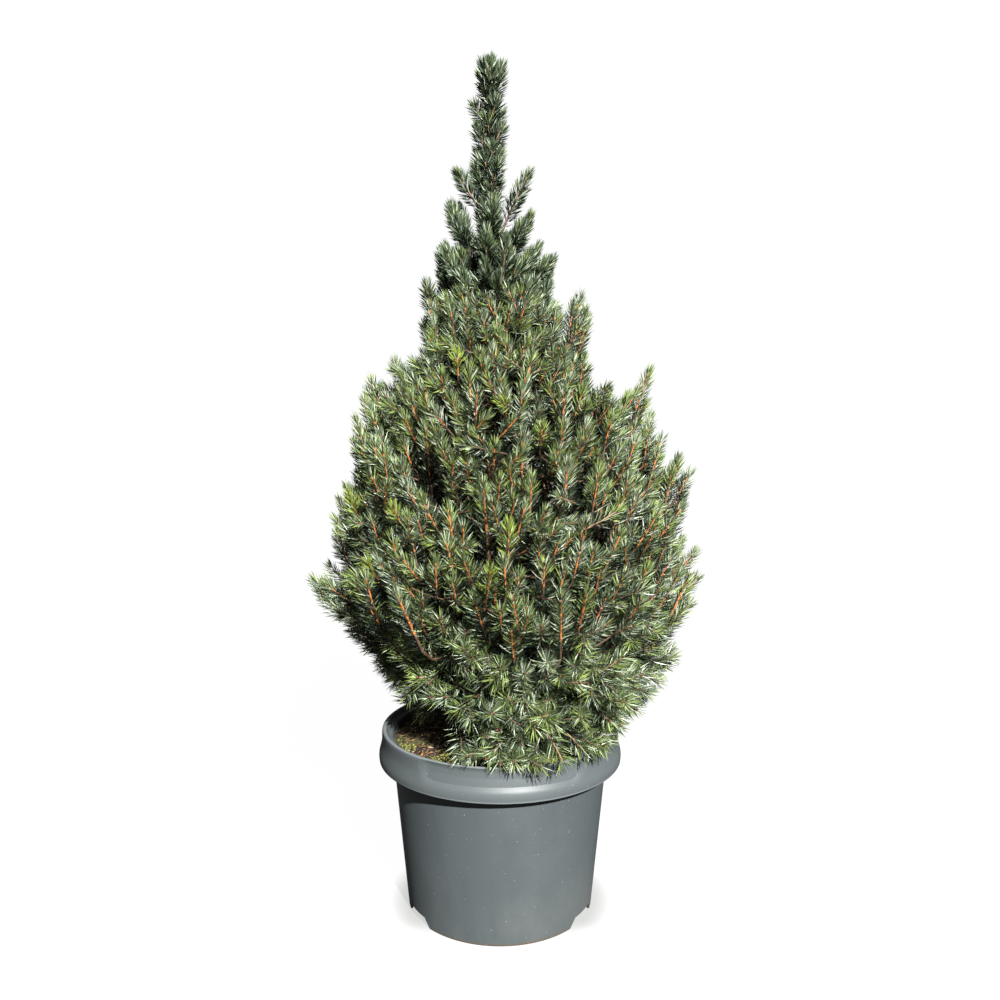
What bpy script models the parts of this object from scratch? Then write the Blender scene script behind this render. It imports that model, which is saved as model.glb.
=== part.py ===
"""A potted Alberta spruce: a nursery pot filled with soil, a trunk that runs up through the crown,
boughs that reach out from it, and masses of needle sprays that each fill a space of their own.

Metres, +Z up. The origin is on the pot's flat underside, on the pot's axis. -Y is the front.
"""

import math
import random
from itertools import pairwise

import bmesh
import bpy
from mathutils import Matrix, Vector

X_AXIS = Vector((1, 0, 0))
Z_AXIS = Vector((0, 0, 1))
GAP = 0.0003  # between neighbouring solids that would otherwise touch

# The pot: a 7.5 litre nursery container with a wide collar that hangs clear of its wall.
POT_HEIGHT = 0.196
COLLAR_RADIUS = 0.130
COLLAR_LIP_HEIGHT = 0.1615
BASE_RADIUS = 0.100
WALL = 0.002
WALL_SLOPE = (0.115 - BASE_RADIUS) / COLLAR_LIP_HEIGHT
LEDGE_HEIGHT = POT_HEIGHT - 0.0065
POT_SIDES = 40
FOOT_PAD_RADIUS = 0.072
FLOOR_HEIGHT = 0.010
NOTCH_AZIMUTHS = (-150.0, -30.0, 90.0)
NOTCH_WIDTH = 0.047
NOTCH_TAPER = 0.72
NOTCH_HEIGHT = 0.010
NOTCH_DEPTH = 0.022
LABEL_FIELD = {"centre": -88.0, "half_width": 40.0, "edge": 9.0, "depth": 0.0016, "foot": 0.181}

# The soil, mounded a little towards the trunk.
SOIL_EDGE_HEIGHT = 0.1835
SOIL_CROWN_HEIGHT = 0.188
SOIL_SIDES = 20

# The trunk, from its flat cut on the soil to the foot of the leading shoot.
TRUNK_FOOT = SOIL_CROWN_HEIGHT + GAP
TRUNK_TIP = 0.778
TRUNK_SIDES = 10
TRUNK_LEAN = -0.010
TRUNK_SWAY = 0.004
TRUNK_RADII = (
    (0.0, 0.0150),
    (0.012, 0.0112),
    (0.035, 0.0095),
    (0.25, 0.0072),
    (0.45, 0.0042),
    (0.60, 0.0024),
)  # at each height above its foot

# The crown: half width and shift to the right at each height.
CROWN = (
    (0.195, 0.118, 0.012),
    (0.230, 0.140, 0.024),
    (0.270, 0.158, 0.026),
    (0.310, 0.172, 0.018),
    (0.360, 0.180, 0.012),
    (0.420, 0.176, 0.012),
    (0.470, 0.163, 0.012),
    (0.520, 0.142, 0.008),
    (0.560, 0.118, 0.002),
    (0.600, 0.088, 0.000),
    (0.640, 0.068, 0.000),
    (0.690, 0.050, 0.000),
    (0.740, 0.036, 0.000),
    (0.790, 0.022, 0.000),
    (0.840, 0.014, 0.000),
    (0.880, 0.004, 0.000),
)
PLANT_TOP = 0.888
CROWN_FOOT = 0.205
OPEN_SIDE = {"azimuth": -138.0, "half_width": 42.0, "rise": 0.045}  # where the soil shows

# Tiers of masses, bottom to top. Each has the height where its limbs leave the trunk, the height of
# its masses' hearts, the heart's share of the crown's half width, how far above the heart its main
# shoot ends and at what share of the half width, how steeply the mass's stem starts, and the azimuths
# of the masses. A tier with no bough grows on the trunk.
TIERS = (
    {"name": "skirt", "root": 0.205, "heart": 0.240, "share": 0.70, "rise": 0.020, "reach": 1.04,
     "slope": 0.35, "bough": True, "azimuths": (-92, -47, 2, 58, 118, 178)},
    {"name": "lower", "root": 0.238, "heart": 0.318, "share": 0.70, "rise": 0.060, "reach": 1.04,
     "slope": 0.75, "bough": True, "azimuths": (-122, -66, -8, 54, 112, 172)},
    {"name": "middle", "root": 0.312, "heart": 0.404, "share": 0.68, "rise": 0.078, "reach": 0.98,
     "slope": 0.75, "bough": True, "azimuths": (-96, -38, 4, 70, 128, 182)},
    {"name": "upper", "root": 0.402, "heart": 0.492, "share": 0.62, "rise": 0.086, "reach": 1.00,
     "slope": 0.75, "bough": True, "azimuths": (-122, -58, 2, 78, 176)},
    {"name": "shoulder", "root": 0.545, "heart": 0.582, "share": 0.52, "rise": 0.066, "reach": 1.00,
     "slope": 0.80, "bough": False, "azimuths": (-84, 8, 98, 186)},
    {"name": "neck", "root": 0.628, "heart": 0.660, "share": 0.52, "rise": 0.044, "reach": 1.10,
     "slope": 0.80, "bough": False, "azimuths": (-72, 40, 176)},
    {"name": "spire", "root": 0.700, "heart": 0.736, "share": 0.55, "rise": 0.046, "reach": 1.45,
     "slope": 0.80, "bough": False, "azimuths": (-18, 98, 206)},
)  # fmt: skip
STAGGER = 0.011  # how far a tier's limbs step up and down the trunk
LEAVE_SLOPE = 0.35  # how steeply a bough leaves the trunk

# Limbs and twigs.
BOUGH_SIDES = 5
BOUGH_STEPS = 4
BOUGH_RADII = {
    "skirt": (0.0042, 0.0030),
    "lower": (0.0052, 0.0033),
    "middle": (0.0048, 0.0031),
    "upper": (0.0040, 0.0028),
}
BOUGH_SHARE = 0.50  # where a bough ends, as a share of the way to the heart
STEM_RADII = (0.0028, 0.0017)
TWIG_RADII = (0.0020, 0.0013)
TIP_RADIUS = 0.0009
LIMB_CLEARANCE = 0.0025
TWIG_CLEARANCE = 0.0060  # the same for the middle of a twig

# Sprays of needles, fewer and larger than life: a slim core that needles stand out of in bands.
SPRAYS = 207
INNER_EVERY = 5  # one spray in this many fills the crown inside
INNER_TOP = 0.62
TOP_SHARE = 0.045  # added to the half width at every height, so that the thin top gets its share
SPRAY_LENGTH = 0.074
LEADER_SPRAY_LENGTH = 0.104
CORE_RADIUS = 0.0062
BAND_LENGTH = 0.027
BARE_STEP = 0.055
NEEDLE_LENGTH = 0.022
NEEDLE_ANGLE = math.radians(40.0)
BUD_LENGTH = 0.012
NEEDLE_CLEARANCE = 0.003
SPACE_MARGIN = 0.0008
TWIG_MARGIN = 0.0025  # the same for the middle of a twig
TIP_MARGIN = 0.007  # how far inside its space a spray ends
SHORTEST_TWIG = 0.010  # from a fork to the foot of the shoot
STEM_SHOOT_SHARE = 0.7  # the most of a mass's stem that is its shoot
CURVE_STEPS = 4  # from a twig's fork to the foot of its shoot
SHOOT_STEPS = 5  # along the straight shoot
SHORTEST_SHOOT = 0.018
FOOT_PULL = 0.75  # how strongly a twig turns to its shoot's direction
FORK_TURN = 1.6  # how much a twig turns to its shoot where it forks off
BEND_COST = 1.2  # how far a twig goes to avoid a sharp bend
FORK_PLACES = 9  # steps along a twig between which others can fork off it
FORKS_TRIED = 4
CLOSEST_TIPS = 0.012  # the least distance between two tips of a mass where the crown is thinnest
TIP_SPREAD = 0.065  # how much that distance grows with the crown's half width

# How steeply a shoot points, in degrees, by the height of its tip.
SHOOT_RISE = (
    (0.20, -6),
    (0.24, 14),
    (0.29, 40),
    (0.35, 60),
    (0.42, 69),
    (0.55, 73),
    (0.70, 71),
    (0.80, 78),
)

# Shoots that stand out past the rest: azimuth in degrees, the tip's height, and its distance from the axis.
PROUD_SHOOTS = (
    (-4, 0.686, 0.066),
    (-20, 0.634, 0.098),
    (2, 0.577, 0.165),
    (-14, 0.552, 0.142),
    (6, 0.510, 0.172),
    (-8, 0.474, 0.203),
    (2, 0.388, 0.216),
    (-10, 0.338, 0.208),
    (6, 0.271, 0.200),
    (-16, 0.228, 0.170),
    (190, 0.668, 0.080),
    (184, 0.584, 0.106),
    (176, 0.568, 0.134),
    (190, 0.516, 0.152),
    (180, 0.456, 0.170),
    (184, 0.362, 0.204),
    (172, 0.306, 0.178),
    (190, 0.258, 0.134),
    (-104, 0.208, 0.140),
    (-84, 0.206, 0.148),
    (-66, 0.203, 0.158),
    (-48, 0.210, 0.158),
    (-28, 0.214, 0.160),
)

COLOURS = {
    "pot": ((0.155, 0.175, 0.182), 0.42),
    "soil": ((0.050, 0.034, 0.020), 0.95),
    "bark": ((0.175, 0.095, 0.050), 0.85),
    "needles": ((0.060, 0.110, 0.065), 0.55),
}


def make_material(name):
    colour, roughness = COLOURS[name]
    material = bpy.data.materials.new(name)
    material.use_nodes = True
    shader = material.node_tree.nodes["Principled BSDF"]
    shader.inputs["Base Color"].default_value = (*colour, 1.0)
    shader.inputs["Roughness"].default_value = roughness
    shader.inputs["Metallic"].default_value = 0.0
    return material


def add_object(name, mesh, material):
    mesh.materials.clear()
    mesh.materials.append(material)
    obj = bpy.data.objects.new(name, mesh)
    bpy.context.scene.collection.objects.link(obj)
    return obj


def mesh_of(bm, name):
    bmesh.ops.recalc_face_normals(bm, faces=bm.faces)
    mesh = bpy.data.meshes.new(name)
    bm.to_mesh(mesh)
    bm.free()
    return mesh


def shade(mesh, degrees):
    mesh.shade_smooth()
    mesh.set_sharp_from_angle(angle=math.radians(degrees))


def between(rows, at, column):
    """The value of a column of rows, read in a straight line between the rows' first values."""
    if at <= rows[0][0]:
        return rows[0][column]
    for low, high in pairwise(rows):
        if at <= high[0]:
            share = (at - low[0]) / (high[0] - low[0])
            return low[column] + share * (high[column] - low[column])
    return rows[-1][column]


def smooth(share):
    share = min(1.0, max(0.0, share))
    return share * share * (3 - 2 * share)


def outward(azimuth):
    return Vector((math.cos(azimuth), math.sin(azimuth), 0.0))


def sloped(way, slope):
    """A level direction, tilted up."""
    return (way + Z_AXIS * slope).normalized()


def azimuth_gap(a, b):
    """The angle between two azimuths, in radians and never negative."""
    return abs((a - b + math.pi) % (2 * math.pi) - math.pi)


# ---------------------------------------------------------------- the pot and the soil


def wall_radius(height):
    """The pot's outer wall at a height."""
    return BASE_RADIUS + WALL_SLOPE * height


def pot_profile():
    """The pot's section, from the middle of its underside, out and up, and back down its inside."""
    top = POT_HEIGHT
    lip = COLLAR_LIP_HEIGHT
    ledge = LEDGE_HEIGHT
    foot_wall = wall_radius(0)
    return (
        (0.0, 0.0),
        (FOOT_PAD_RADIUS, 0.0),
        (FOOT_PAD_RADIUS + 0.004, FLOOR_HEIGHT - WALL),
        (foot_wall - 2 * WALL, FLOOR_HEIGHT - WALL),
        (foot_wall - WALL, 0.0),
        (foot_wall, 0.0),
        (wall_radius(ledge - WALL), ledge - WALL),
        (COLLAR_RADIUS - 0.0068, top - 0.0042),
        (COLLAR_RADIUS - 0.0024, lip + 0.012),
        (COLLAR_RADIUS - 0.0022, lip),
        (COLLAR_RADIUS, lip),
        (COLLAR_RADIUS + 0.0004, lip + 0.005),
        (COLLAR_RADIUS - 0.0006, lip + 0.013),
        (COLLAR_RADIUS - 0.0026, lip + 0.020),
        (COLLAR_RADIUS - 0.0034, top - 0.005),
        (COLLAR_RADIUS - 0.0042, top - 0.0012),
        (COLLAR_RADIUS - 0.0056, top),
        (COLLAR_RADIUS - 0.0072, top - 0.0006),
        (wall_radius(ledge) - 0.0004, ledge + 0.0024),
        (wall_radius(ledge) - WALL, ledge),
        (wall_radius(FLOOR_HEIGHT) - WALL, FLOOR_HEIGHT),
        (FOOT_PAD_RADIUS + 0.006, FLOOR_HEIGHT),
        (FOOT_PAD_RADIUS - 0.001, WALL),
        (0.0, WALL),
    )


def press_label_field(bm):
    """Sets the front of the collar back a little above its flared foot, where a label would go."""
    field = LABEL_FIELD
    for vert in bm.verts:
        radius = math.hypot(vert.co.x, vert.co.y)
        if radius < COLLAR_RADIUS - 0.0045 or vert.co.z < field["foot"]:
            continue
        away = math.degrees(azimuth_gap(math.atan2(vert.co.y, vert.co.x), math.radians(field["centre"])))
        share = smooth((field["half_width"] - away) / field["edge"])
        fade = 1.0 if vert.co.z < POT_HEIGHT - 0.004 else 0.4
        scale = 1 - share * fade * field["depth"] / radius
        vert.co.x *= scale
        vert.co.y *= scale


def spun(profile, sides):
    """A closed body of revolution about Z from a profile that starts and ends on the axis."""
    bm = bmesh.new()
    points = [bm.verts.new((radius, 0.0, height)) for radius, height in profile]
    edges = [bm.edges.new(pair) for pair in pairwise(points)]
    bmesh.ops.spin(
        bm,
        geom=points + edges,
        cent=(0, 0, 0),
        axis=(0, 0, 1),
        angle=2 * math.pi,
        steps=sides,
        use_merge=True,
    )
    bmesh.ops.remove_doubles(bm, verts=bm.verts, dist=1e-6)
    return bm


def notch_cutter(azimuth):
    """A block, narrower at its top, that opens the pot's foot to let water out."""
    bm = bmesh.new()
    bmesh.ops.create_cube(bm, size=1.0)
    for vert in bm.verts:
        low = vert.co.z < 0
        vert.co.x *= NOTCH_DEPTH
        vert.co.y *= NOTCH_WIDTH if low else NOTCH_WIDTH * NOTCH_TAPER
        vert.co.z = -NOTCH_HEIGHT if low else NOTCH_HEIGHT
    bmesh.ops.rotate(bm, verts=bm.verts, cent=(0, 0, 0), matrix=Matrix.Rotation(azimuth, 3, "Z"))
    bmesh.ops.translate(bm, verts=bm.verts, vec=outward(azimuth) * (BASE_RADIUS - 0.2 * NOTCH_DEPTH))
    cutter = add_object("notch_cutter", mesh_of(bm, "notch_cutter"), bpy.data.materials["pot"])
    cutter.hide_render = True
    cutter.display_type = "WIRE"
    return cutter


def make_pot():
    bm = spun(pot_profile(), POT_SIDES)
    press_label_field(bm)
    mesh = mesh_of(bm, "pot")
    shade(mesh, 30)
    pot = add_object("pot", mesh, bpy.data.materials["pot"])
    for degrees in NOTCH_AZIMUTHS:
        cut = pot.modifiers.new("notch", "BOOLEAN")
        cut.operation = "DIFFERENCE"
        cut.object = notch_cutter(math.radians(degrees))
    return pot


def soil_profile():
    inset = WALL + GAP
    return (
        (0.0, WALL + GAP),
        (FOOT_PAD_RADIUS - 0.003, WALL + GAP),
        (FOOT_PAD_RADIUS + 0.004, FLOOR_HEIGHT + GAP),
        (wall_radius(FLOOR_HEIGHT) - inset, FLOOR_HEIGHT + GAP),
        (wall_radius(SOIL_EDGE_HEIGHT) - inset, SOIL_EDGE_HEIGHT),
        (0.100, SOIL_EDGE_HEIGHT + 0.0010),
        (0.085, SOIL_EDGE_HEIGHT + 0.0022),
        (0.062, SOIL_EDGE_HEIGHT + 0.0030),
        (0.040, SOIL_CROWN_HEIGHT - 0.0006),
        (0.020, SOIL_CROWN_HEIGHT),
        (0.0, SOIL_CROWN_HEIGHT),
    )


def make_soil():
    """The soil, with a lumpy top that is flat under the trunk."""
    rng = random.Random(5)
    bm = spun(soil_profile(), SOIL_SIDES)
    for vert in sorted(bm.verts, key=lambda v: (round(v.co.z, 5), round(v.co.x, 5), round(v.co.y, 5))):
        radius = math.hypot(vert.co.x, vert.co.y)
        if vert.co.z > SOIL_EDGE_HEIGHT + 0.0005 and radius > 0.03:
            vert.co.z += rng.uniform(-0.0016, 0.0012)
    mesh = mesh_of(bm, "soil")
    shade(mesh, 40)
    add_object("soil", mesh, bpy.data.materials["soil"])


# ---------------------------------------------------------------- the crown's outline and its spaces


def trunk_axis(height):
    """The middle of the trunk at a height: it leans a little to the left and sways once."""
    share = (height - TRUNK_FOOT) / (TRUNK_TIP - TRUNK_FOOT)
    return Vector(
        (
            TRUNK_LEAN * smooth(share) + TRUNK_SWAY * math.sin(math.pi * share) * (1 - share),
            TRUNK_SWAY * 0.8 * math.sin(2 * math.pi * share),
            height,
        )
    )


def trunk_radius(height):
    return between(TRUNK_RADII, height - TRUNK_FOOT, 1)


def crown_reach(height, azimuth):
    """How far the crown's mean surface stands from the trunk's axis."""
    return between(CROWN, height, 1) + between(CROWN, height, 2) * math.cos(azimuth)


def crown_point(height, azimuth, share=1.0):
    return trunk_axis(height) + outward(azimuth) * crown_reach(height, azimuth) * share


def crown_foot(azimuth):
    """The height where the crown starts. It is raised on the side where the soil shows."""
    away = math.degrees(azimuth_gap(azimuth, math.radians(OPEN_SIDE["azimuth"])))
    return CROWN_FOOT + OPEN_SIDE["rise"] * smooth(2 - 2 * away / OPEN_SIDE["half_width"])


def shoot_direction(height, azimuth, rng):
    """Shoots rise steeply high in the crown and lie out flat, or droop, at its foot."""
    rise = math.radians(between(SHOOT_RISE, height, 1) + rng.uniform(-14, 12))
    side = azimuth + math.radians(rng.uniform(-24, 24))
    return outward(side) * math.cos(rise) + Z_AXIS * math.sin(rise)


class Space:
    """A mass's own space: what lies nearer to its heart than to any other heart, clear of limbs."""

    def __init__(self, heart, others, limbs):
        self.walls = [((heart + other) / 2, (heart - other).normalized()) for other in others]
        self.limbs = limbs

    def holds(self, point, margin=SPACE_MARGIN, clearance=LIMB_CLEARANCE):
        for on_wall, inward in self.walls:
            if (point - on_wall).dot(inward) < margin:
                return False
        return clear_of_pot(point) and all(limb_gap(point, limb) > clearance for limb in self.limbs)

    def holds_line(self, start, end, steps=4):
        return all(self.holds(start.lerp(end, step / steps)) for step in range(1, steps + 1))

    def settled(self, point):
        """The point, moved in from any wall that it stands too near."""
        for _ in range(4):
            for on_wall, inward in self.walls:
                short = TIP_MARGIN - (point - on_wall).dot(inward)
                if short > 0:
                    point = point + inward * short
        return point

    def holds_twig(self, twig):
        """Whether a twig keeps inside this space and off the limbs from soon after its fork."""
        return all(self.holds(place, TWIG_MARGIN, TWIG_CLEARANCE) for place in twig["forks"][2:])

    def room(self, tip, way, wanted):
        """How far back from its tip a straight shoot can start inside this space."""
        for on_wall, inward in self.walls:
            closing = way.dot(inward)
            if closing > 0:
                wanted = min(wanted, ((tip - on_wall).dot(inward) - TIP_MARGIN) / closing)
        return max(wanted, SHORTEST_SHOOT)


def clear_of_pot(point):
    radius = math.hypot(point.x, point.y)
    if radius > COLLAR_RADIUS + 0.004:
        return point.z > COLLAR_LIP_HEIGHT
    if radius > wall_radius(LEDGE_HEIGHT) - 0.004:
        return point.z > POT_HEIGHT + 0.003
    return point.z > SOIL_CROWN_HEIGHT + 0.004


def limb_gap(point, limb):
    """The distance from a point to the skin of a limb, given as rings of a centre and a radius."""
    nearest = math.inf
    for (a, radius_a), (b, radius_b) in pairwise(limb):
        along = b - a
        share = min(1.0, max(0.0, (point - a).dot(along) / along.length_squared))
        reach = (point - a - along * share).length
        nearest = min(nearest, reach - radius_a - share * (radius_b - radius_a))
    return nearest


# ---------------------------------------------------------------- limbs


def hermite(start, start_slope, end, end_slope, steps):
    """A smooth curve's points between two ends with the slopes given there."""
    points = []
    for step in range(steps + 1):
        t = step / steps
        points.append(
            start * (2 * t**3 - 3 * t**2 + 1)
            + start_slope * (t**3 - 2 * t**2 + t)
            + end * (3 * t**2 - 2 * t**3)
            + end_slope * (t**3 - t**2)
        )
    return points


def frames(points, leave=None):
    """A tangent and a side direction at each point, carried along the line without twist."""
    tangents = [
        (points[min(i + 1, len(points) - 1)] - points[max(i - 1, 0)]).normalized() for i in range(len(points))
    ]
    if leave:
        tangents[0] = leave
    side = X_AXIS if tangents[0].z > 0.99 else Z_AXIS
    made = []
    for tangent in tangents:
        side = (side - tangent * side.dot(tangent)).normalized()
        made.append((tangent, side))
    return made


def ring(bm, centre, frame, radius, sides, phase=0.0):
    tangent, side = frame
    cross = tangent.cross(side)
    made = []
    for corner in range(sides):
        angle = phase + 2 * math.pi * corner / sides
        made.append(bm.verts.new(centre + (side * math.cos(angle) + cross * math.sin(angle)) * radius))
    return made


def bridge(bm, low, high):
    sides = len(low)
    for i in range(sides):
        bm.faces.new((low[i], low[(i + 1) % sides], high[(i + 1) % sides], high[i]))


def limb_mesh(name, limb, sides, leave):
    """A tapering round limb from its rings of a centre and a radius, with a flat cut at each end."""
    bm = bmesh.new()
    line = frames([centre for centre, _ in limb], leave)
    rings = []
    for (centre, radius), frame in zip(limb, line, strict=True):
        rings.append(ring(bm, centre, frame, radius, sides))
    for low, high in pairwise(rings):
        bridge(bm, low, high)
    bm.faces.new(rings[0])
    bm.faces.new(rings[-1])
    mesh = mesh_of(bm, name)
    shade(mesh, 50)
    return mesh


def trunk_limb():
    heights = [TRUNK_FOOT + rise for rise in (0.0, 0.004, 0.012, 0.035)]
    steps = 11
    heights += [heights[-1] + (TRUNK_TIP - heights[-1]) * (step + 1) / steps for step in range(steps)]
    return [(trunk_axis(height), trunk_radius(height)) for height in heights]


def trunk_skin(height, azimuth):
    """The distance from the trunk's axis to its faceted skin, whose first corner is at azimuth 0."""
    half_facet = math.pi / TRUNK_SIDES
    from_middle = azimuth % (2 * half_facet) - half_facet
    return trunk_radius(height) * math.cos(half_facet) / math.cos(from_middle)


def limb_root(height, direction, radius):
    """Where a limb of this radius starts, so that its flat end just clears the trunk's skin."""
    azimuth = math.atan2(direction.y, direction.x)
    flat = math.hypot(direction.x, direction.y)
    nearest_corner = height + trunk_skin(height, azimuth) * direction.z / flat + radius * flat
    reach = trunk_skin(nearest_corner, azimuth) + GAP + radius * direction.z
    return trunk_axis(height) + direction * (reach / flat)


def bough_limb(mass):
    """A bough from the trunk to the point where it enters its mass, rising as it goes."""
    root_radius, end_radius = BOUGH_RADII[mass["tier"]["name"]]
    leave = mass["leave"]
    root = limb_root(mass["root"], leave, root_radius)
    end = mass["entry"]
    length = (end - root).length
    points = hermite(root, leave * length, end, mass["entry_way"] * length, BOUGH_STEPS)
    taper = (end_radius - root_radius) / BOUGH_STEPS
    return [(point, root_radius + taper * step) for step, point in enumerate(points)]


# ---------------------------------------------------------------- masses


def plan_masses():
    """The place of every mass: its heart, where its stem starts and where its main shoot ends."""
    masses = []
    for tier in TIERS:
        for number, degrees in enumerate(tier["azimuths"]):
            azimuth = math.radians(degrees)
            lift = crown_foot(azimuth) - CROWN_FOOT if tier["name"] == "skirt" else 0.0
            heart = crown_point(tier["heart"] + lift, azimuth, tier["share"])
            root = tier["root"] + lift * 0.5 + STAGGER * (number % 3)
            tip_height = tier["heart"] + lift + tier["rise"]
            tip = crown_point(tip_height, azimuth, tier["reach"])
            mass = {
                "name": f"foliage_{tier['name']}_{number + 1}",
                "tier": tier,
                "azimuth": azimuth,
                "root": root,
                "heart": heart,
                "tip": tip,
            }
            way = outward(azimuth)
            if tier["bough"]:
                axis = trunk_axis(root)
                entry = axis.lerp(heart, BOUGH_SHARE)
                mass["entry"] = entry
                mass["leave"] = sloped(way, LEAVE_SLOPE)
                mass["entry_way"] = sloped(way, tier["slope"])
            else:
                mass["entry_way"] = sloped(way, tier["slope"])
                mass["entry"] = limb_root(root, mass["entry_way"], STEM_RADII[0])
            masses.append(mass)
    foot = trunk_axis(TRUNK_TIP)
    masses.append(
        {
            "name": "foliage_leader",
            "tier": {"name": "leader", "bough": True},
            "azimuth": 0.0,
            "heart": foot.lerp(Vector((foot.x, foot.y, PLANT_TOP)), 0.45),
            "entry": foot,
            "entry_way": Z_AXIS,
            "tip": Vector((foot.x + 0.001, foot.y, PLANT_TOP)),
        }
    )
    return masses


def target(number, area):
    """The place of a spray's tip on the crown. Any first few of these are spread evenly over it."""
    across = (0.5 + number * 0.5698402909980532) % 1.0
    up = (0.5 + number * 0.7548776662466927) % 1.0
    height = between(area, up, 1)
    return height, across * 2 * math.pi


def crown_area():
    """Rows of the share of the crown's surface that lies below a height, and that height."""
    steps = 60
    heights = [CROWN_FOOT + (CROWN[-1][0] - CROWN_FOOT) * step / steps for step in range(steps + 1)]
    total = 0.0
    rows = [(0.0, heights[0])]
    for low, high in pairwise(heights):
        total += between(CROWN, (low + high) / 2, 1) + TOP_SHARE
        rows.append((total, high))
    return [(row[0] / total, row[1]) for row in rows]


def grow_masses(masses):
    """Gives every mass its twigs: each tip on the crown joins the nearest twig of its mass by a curve."""
    area = crown_area()
    for mass in masses:
        leader = mass["name"] == "foliage_leader"
        tip = mass["space"].settled(mass["tip"])
        way = shoot_direction(tip.z, mass["azimuth"], random.Random(mass["name"]))
        wanted = min(SPRAY_LENGTH, (tip - mass["entry"]).length * STEM_SHOOT_SHARE)
        shoot = mass["space"].room(tip, way, wanted)
        points = shoot_line(mass["entry"], mass["entry_way"], tip, Z_AXIS if leader else way, shoot)
        needled = LEADER_SPRAY_LENGTH if leader else shoot
        stem = make_twig(points, STEM_RADII, mass["entry_way"], needled)
        if not mass["space"].holds_twig(stem):
            raise ValueError(mass["name"] + ": its main stem leaves its space")
        mass["twigs"] = [stem]
    for tip, way in tips(area):
        middle = tip - way * SPRAY_LENGTH / 2
        mass = min(masses, key=lambda m: (m["heart"] - middle).length)
        twig = join_twig(mass, mass["space"].settled(tip), way)
        if twig:
            mass["twigs"].append(twig)


def tips(area):
    """The tips of the shoots and the way that each one points, first those that stand out."""
    for number in range(len(PROUD_SHOOTS) + SPRAYS):
        rng = random.Random(1000 + number)
        if number < len(PROUD_SHOOTS):
            degrees, height, reach = PROUD_SHOOTS[number]
            azimuth = math.radians(degrees)
            tip = outward(azimuth) * reach + Z_AXIS * height
        else:
            height, azimuth = target(number - len(PROUD_SHOOTS), area)
            inner = number % INNER_EVERY == 0 and height < INNER_TOP
            tip = crown_point(height, azimuth, rng.uniform(0.45, 0.72) if inner else rng.uniform(0.88, 1.02))
        if height > crown_foot(azimuth) or number < len(PROUD_SHOOTS):
            yield tip, shoot_direction(height, azimuth, rng)


def shoot_line(start, leave, tip, way, shoot):
    """A twig's line: it curves from its fork to the foot of its shoot, which runs straight to its tip."""
    foot = tip - way * shoot
    length = (foot - start).length
    curve = hermite(start, leave * length, foot, way * length * FOOT_PULL, CURVE_STEPS)
    return curve + [foot.lerp(tip, (step + 1) / SHOOT_STEPS) for step in range(SHOOT_STEPS)]


def join_twig(mass, tip, way):
    """A twig to this tip from the best place on the mass's twigs, or None where none has room."""
    shoot = mass["space"].room(tip, way, SPRAY_LENGTH)
    foot = tip - way * shoot
    closest = CLOSEST_TIPS + TIP_SPREAD * between(CROWN, tip.z, 1)
    forks = []
    for parent in mass["twigs"]:
        if (parent["tip"] - tip).length < closest:
            return None
        line = parent["forks"]
        for i in range(1, len(line) - 1):
            along = (line[i + 1] - line[i - 1]).normalized()
            to_foot = foot - line[i]
            bend = 2 - along.dot(to_foot.normalized()) - way.dot(to_foot.normalized())
            if to_foot.length > SHORTEST_TWIG:
                forks.append((to_foot.length * (1 + BEND_COST * bend), len(forks), line[i], along, to_foot))
    for _, _, start, along, to_foot in sorted(forks)[:FORKS_TRIED]:
        leave = (along + to_foot.normalized() * FORK_TURN).normalized()
        points = shoot_line(start, leave, tip, way, shoot)
        twig = make_twig(points, TWIG_RADII, leave, shoot)
        if mass["space"].holds_twig(twig):
            return twig
    return None


def make_twig(points, radii, leave, needled):
    """A twig's rings along its line, few where it is bare, and the places where others can fork off it."""
    _, length = spaced(points, (1.0,))
    needled = min(needled, length * 0.85)
    bands = max(1, round(needled / BAND_LENGTH))
    bare = max(1, round((length - needled) / BARE_STEP))
    bare_share = 1 - needled / length
    fractions = [bare_share * i / bare for i in range(bare)]
    banded_share = 1 - bare_share - BUD_LENGTH / length
    fractions += [bare_share + banded_share * i / bands for i in range(bands + 1)]
    centres, _ = spaced(points, fractions)
    forks, _ = spaced(centres, [step / FORK_PLACES for step in range(FORK_PLACES + 1)])
    return {
        "centres": centres, "bare": bare, "forks": forks, "radii": radii, "leave": leave, "tip": points[-1],
    }  # fmt: skip


def spaced(points, fractions):
    """Points at these shares of a line's length."""
    lengths = [0.0]
    for a, b in pairwise(points):
        lengths.append(lengths[-1] + (b - a).length)
    found = []
    for fraction in fractions:
        want = fraction * lengths[-1]
        i = next((n for n in range(1, len(lengths)) if lengths[n] >= want - 1e-9), len(lengths) - 1)
        share = (want - lengths[i - 1]) / (lengths[i] - lengths[i - 1])
        found.append(points[i - 1].lerp(points[i], share))
    return found, lengths[-1]


def clear_of_twigs(start, end, twigs):
    """Whether a needle keeps clear of the other twigs of its mass."""
    for step in (0.35, 1.0):
        point = start.lerp(end, step)
        for twig in twigs:
            if limb_gap(point, [(centre, TWIG_RADII[0]) for centre in twig["centres"]]) < NEEDLE_CLEARANCE:
                return False
    return True


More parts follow.
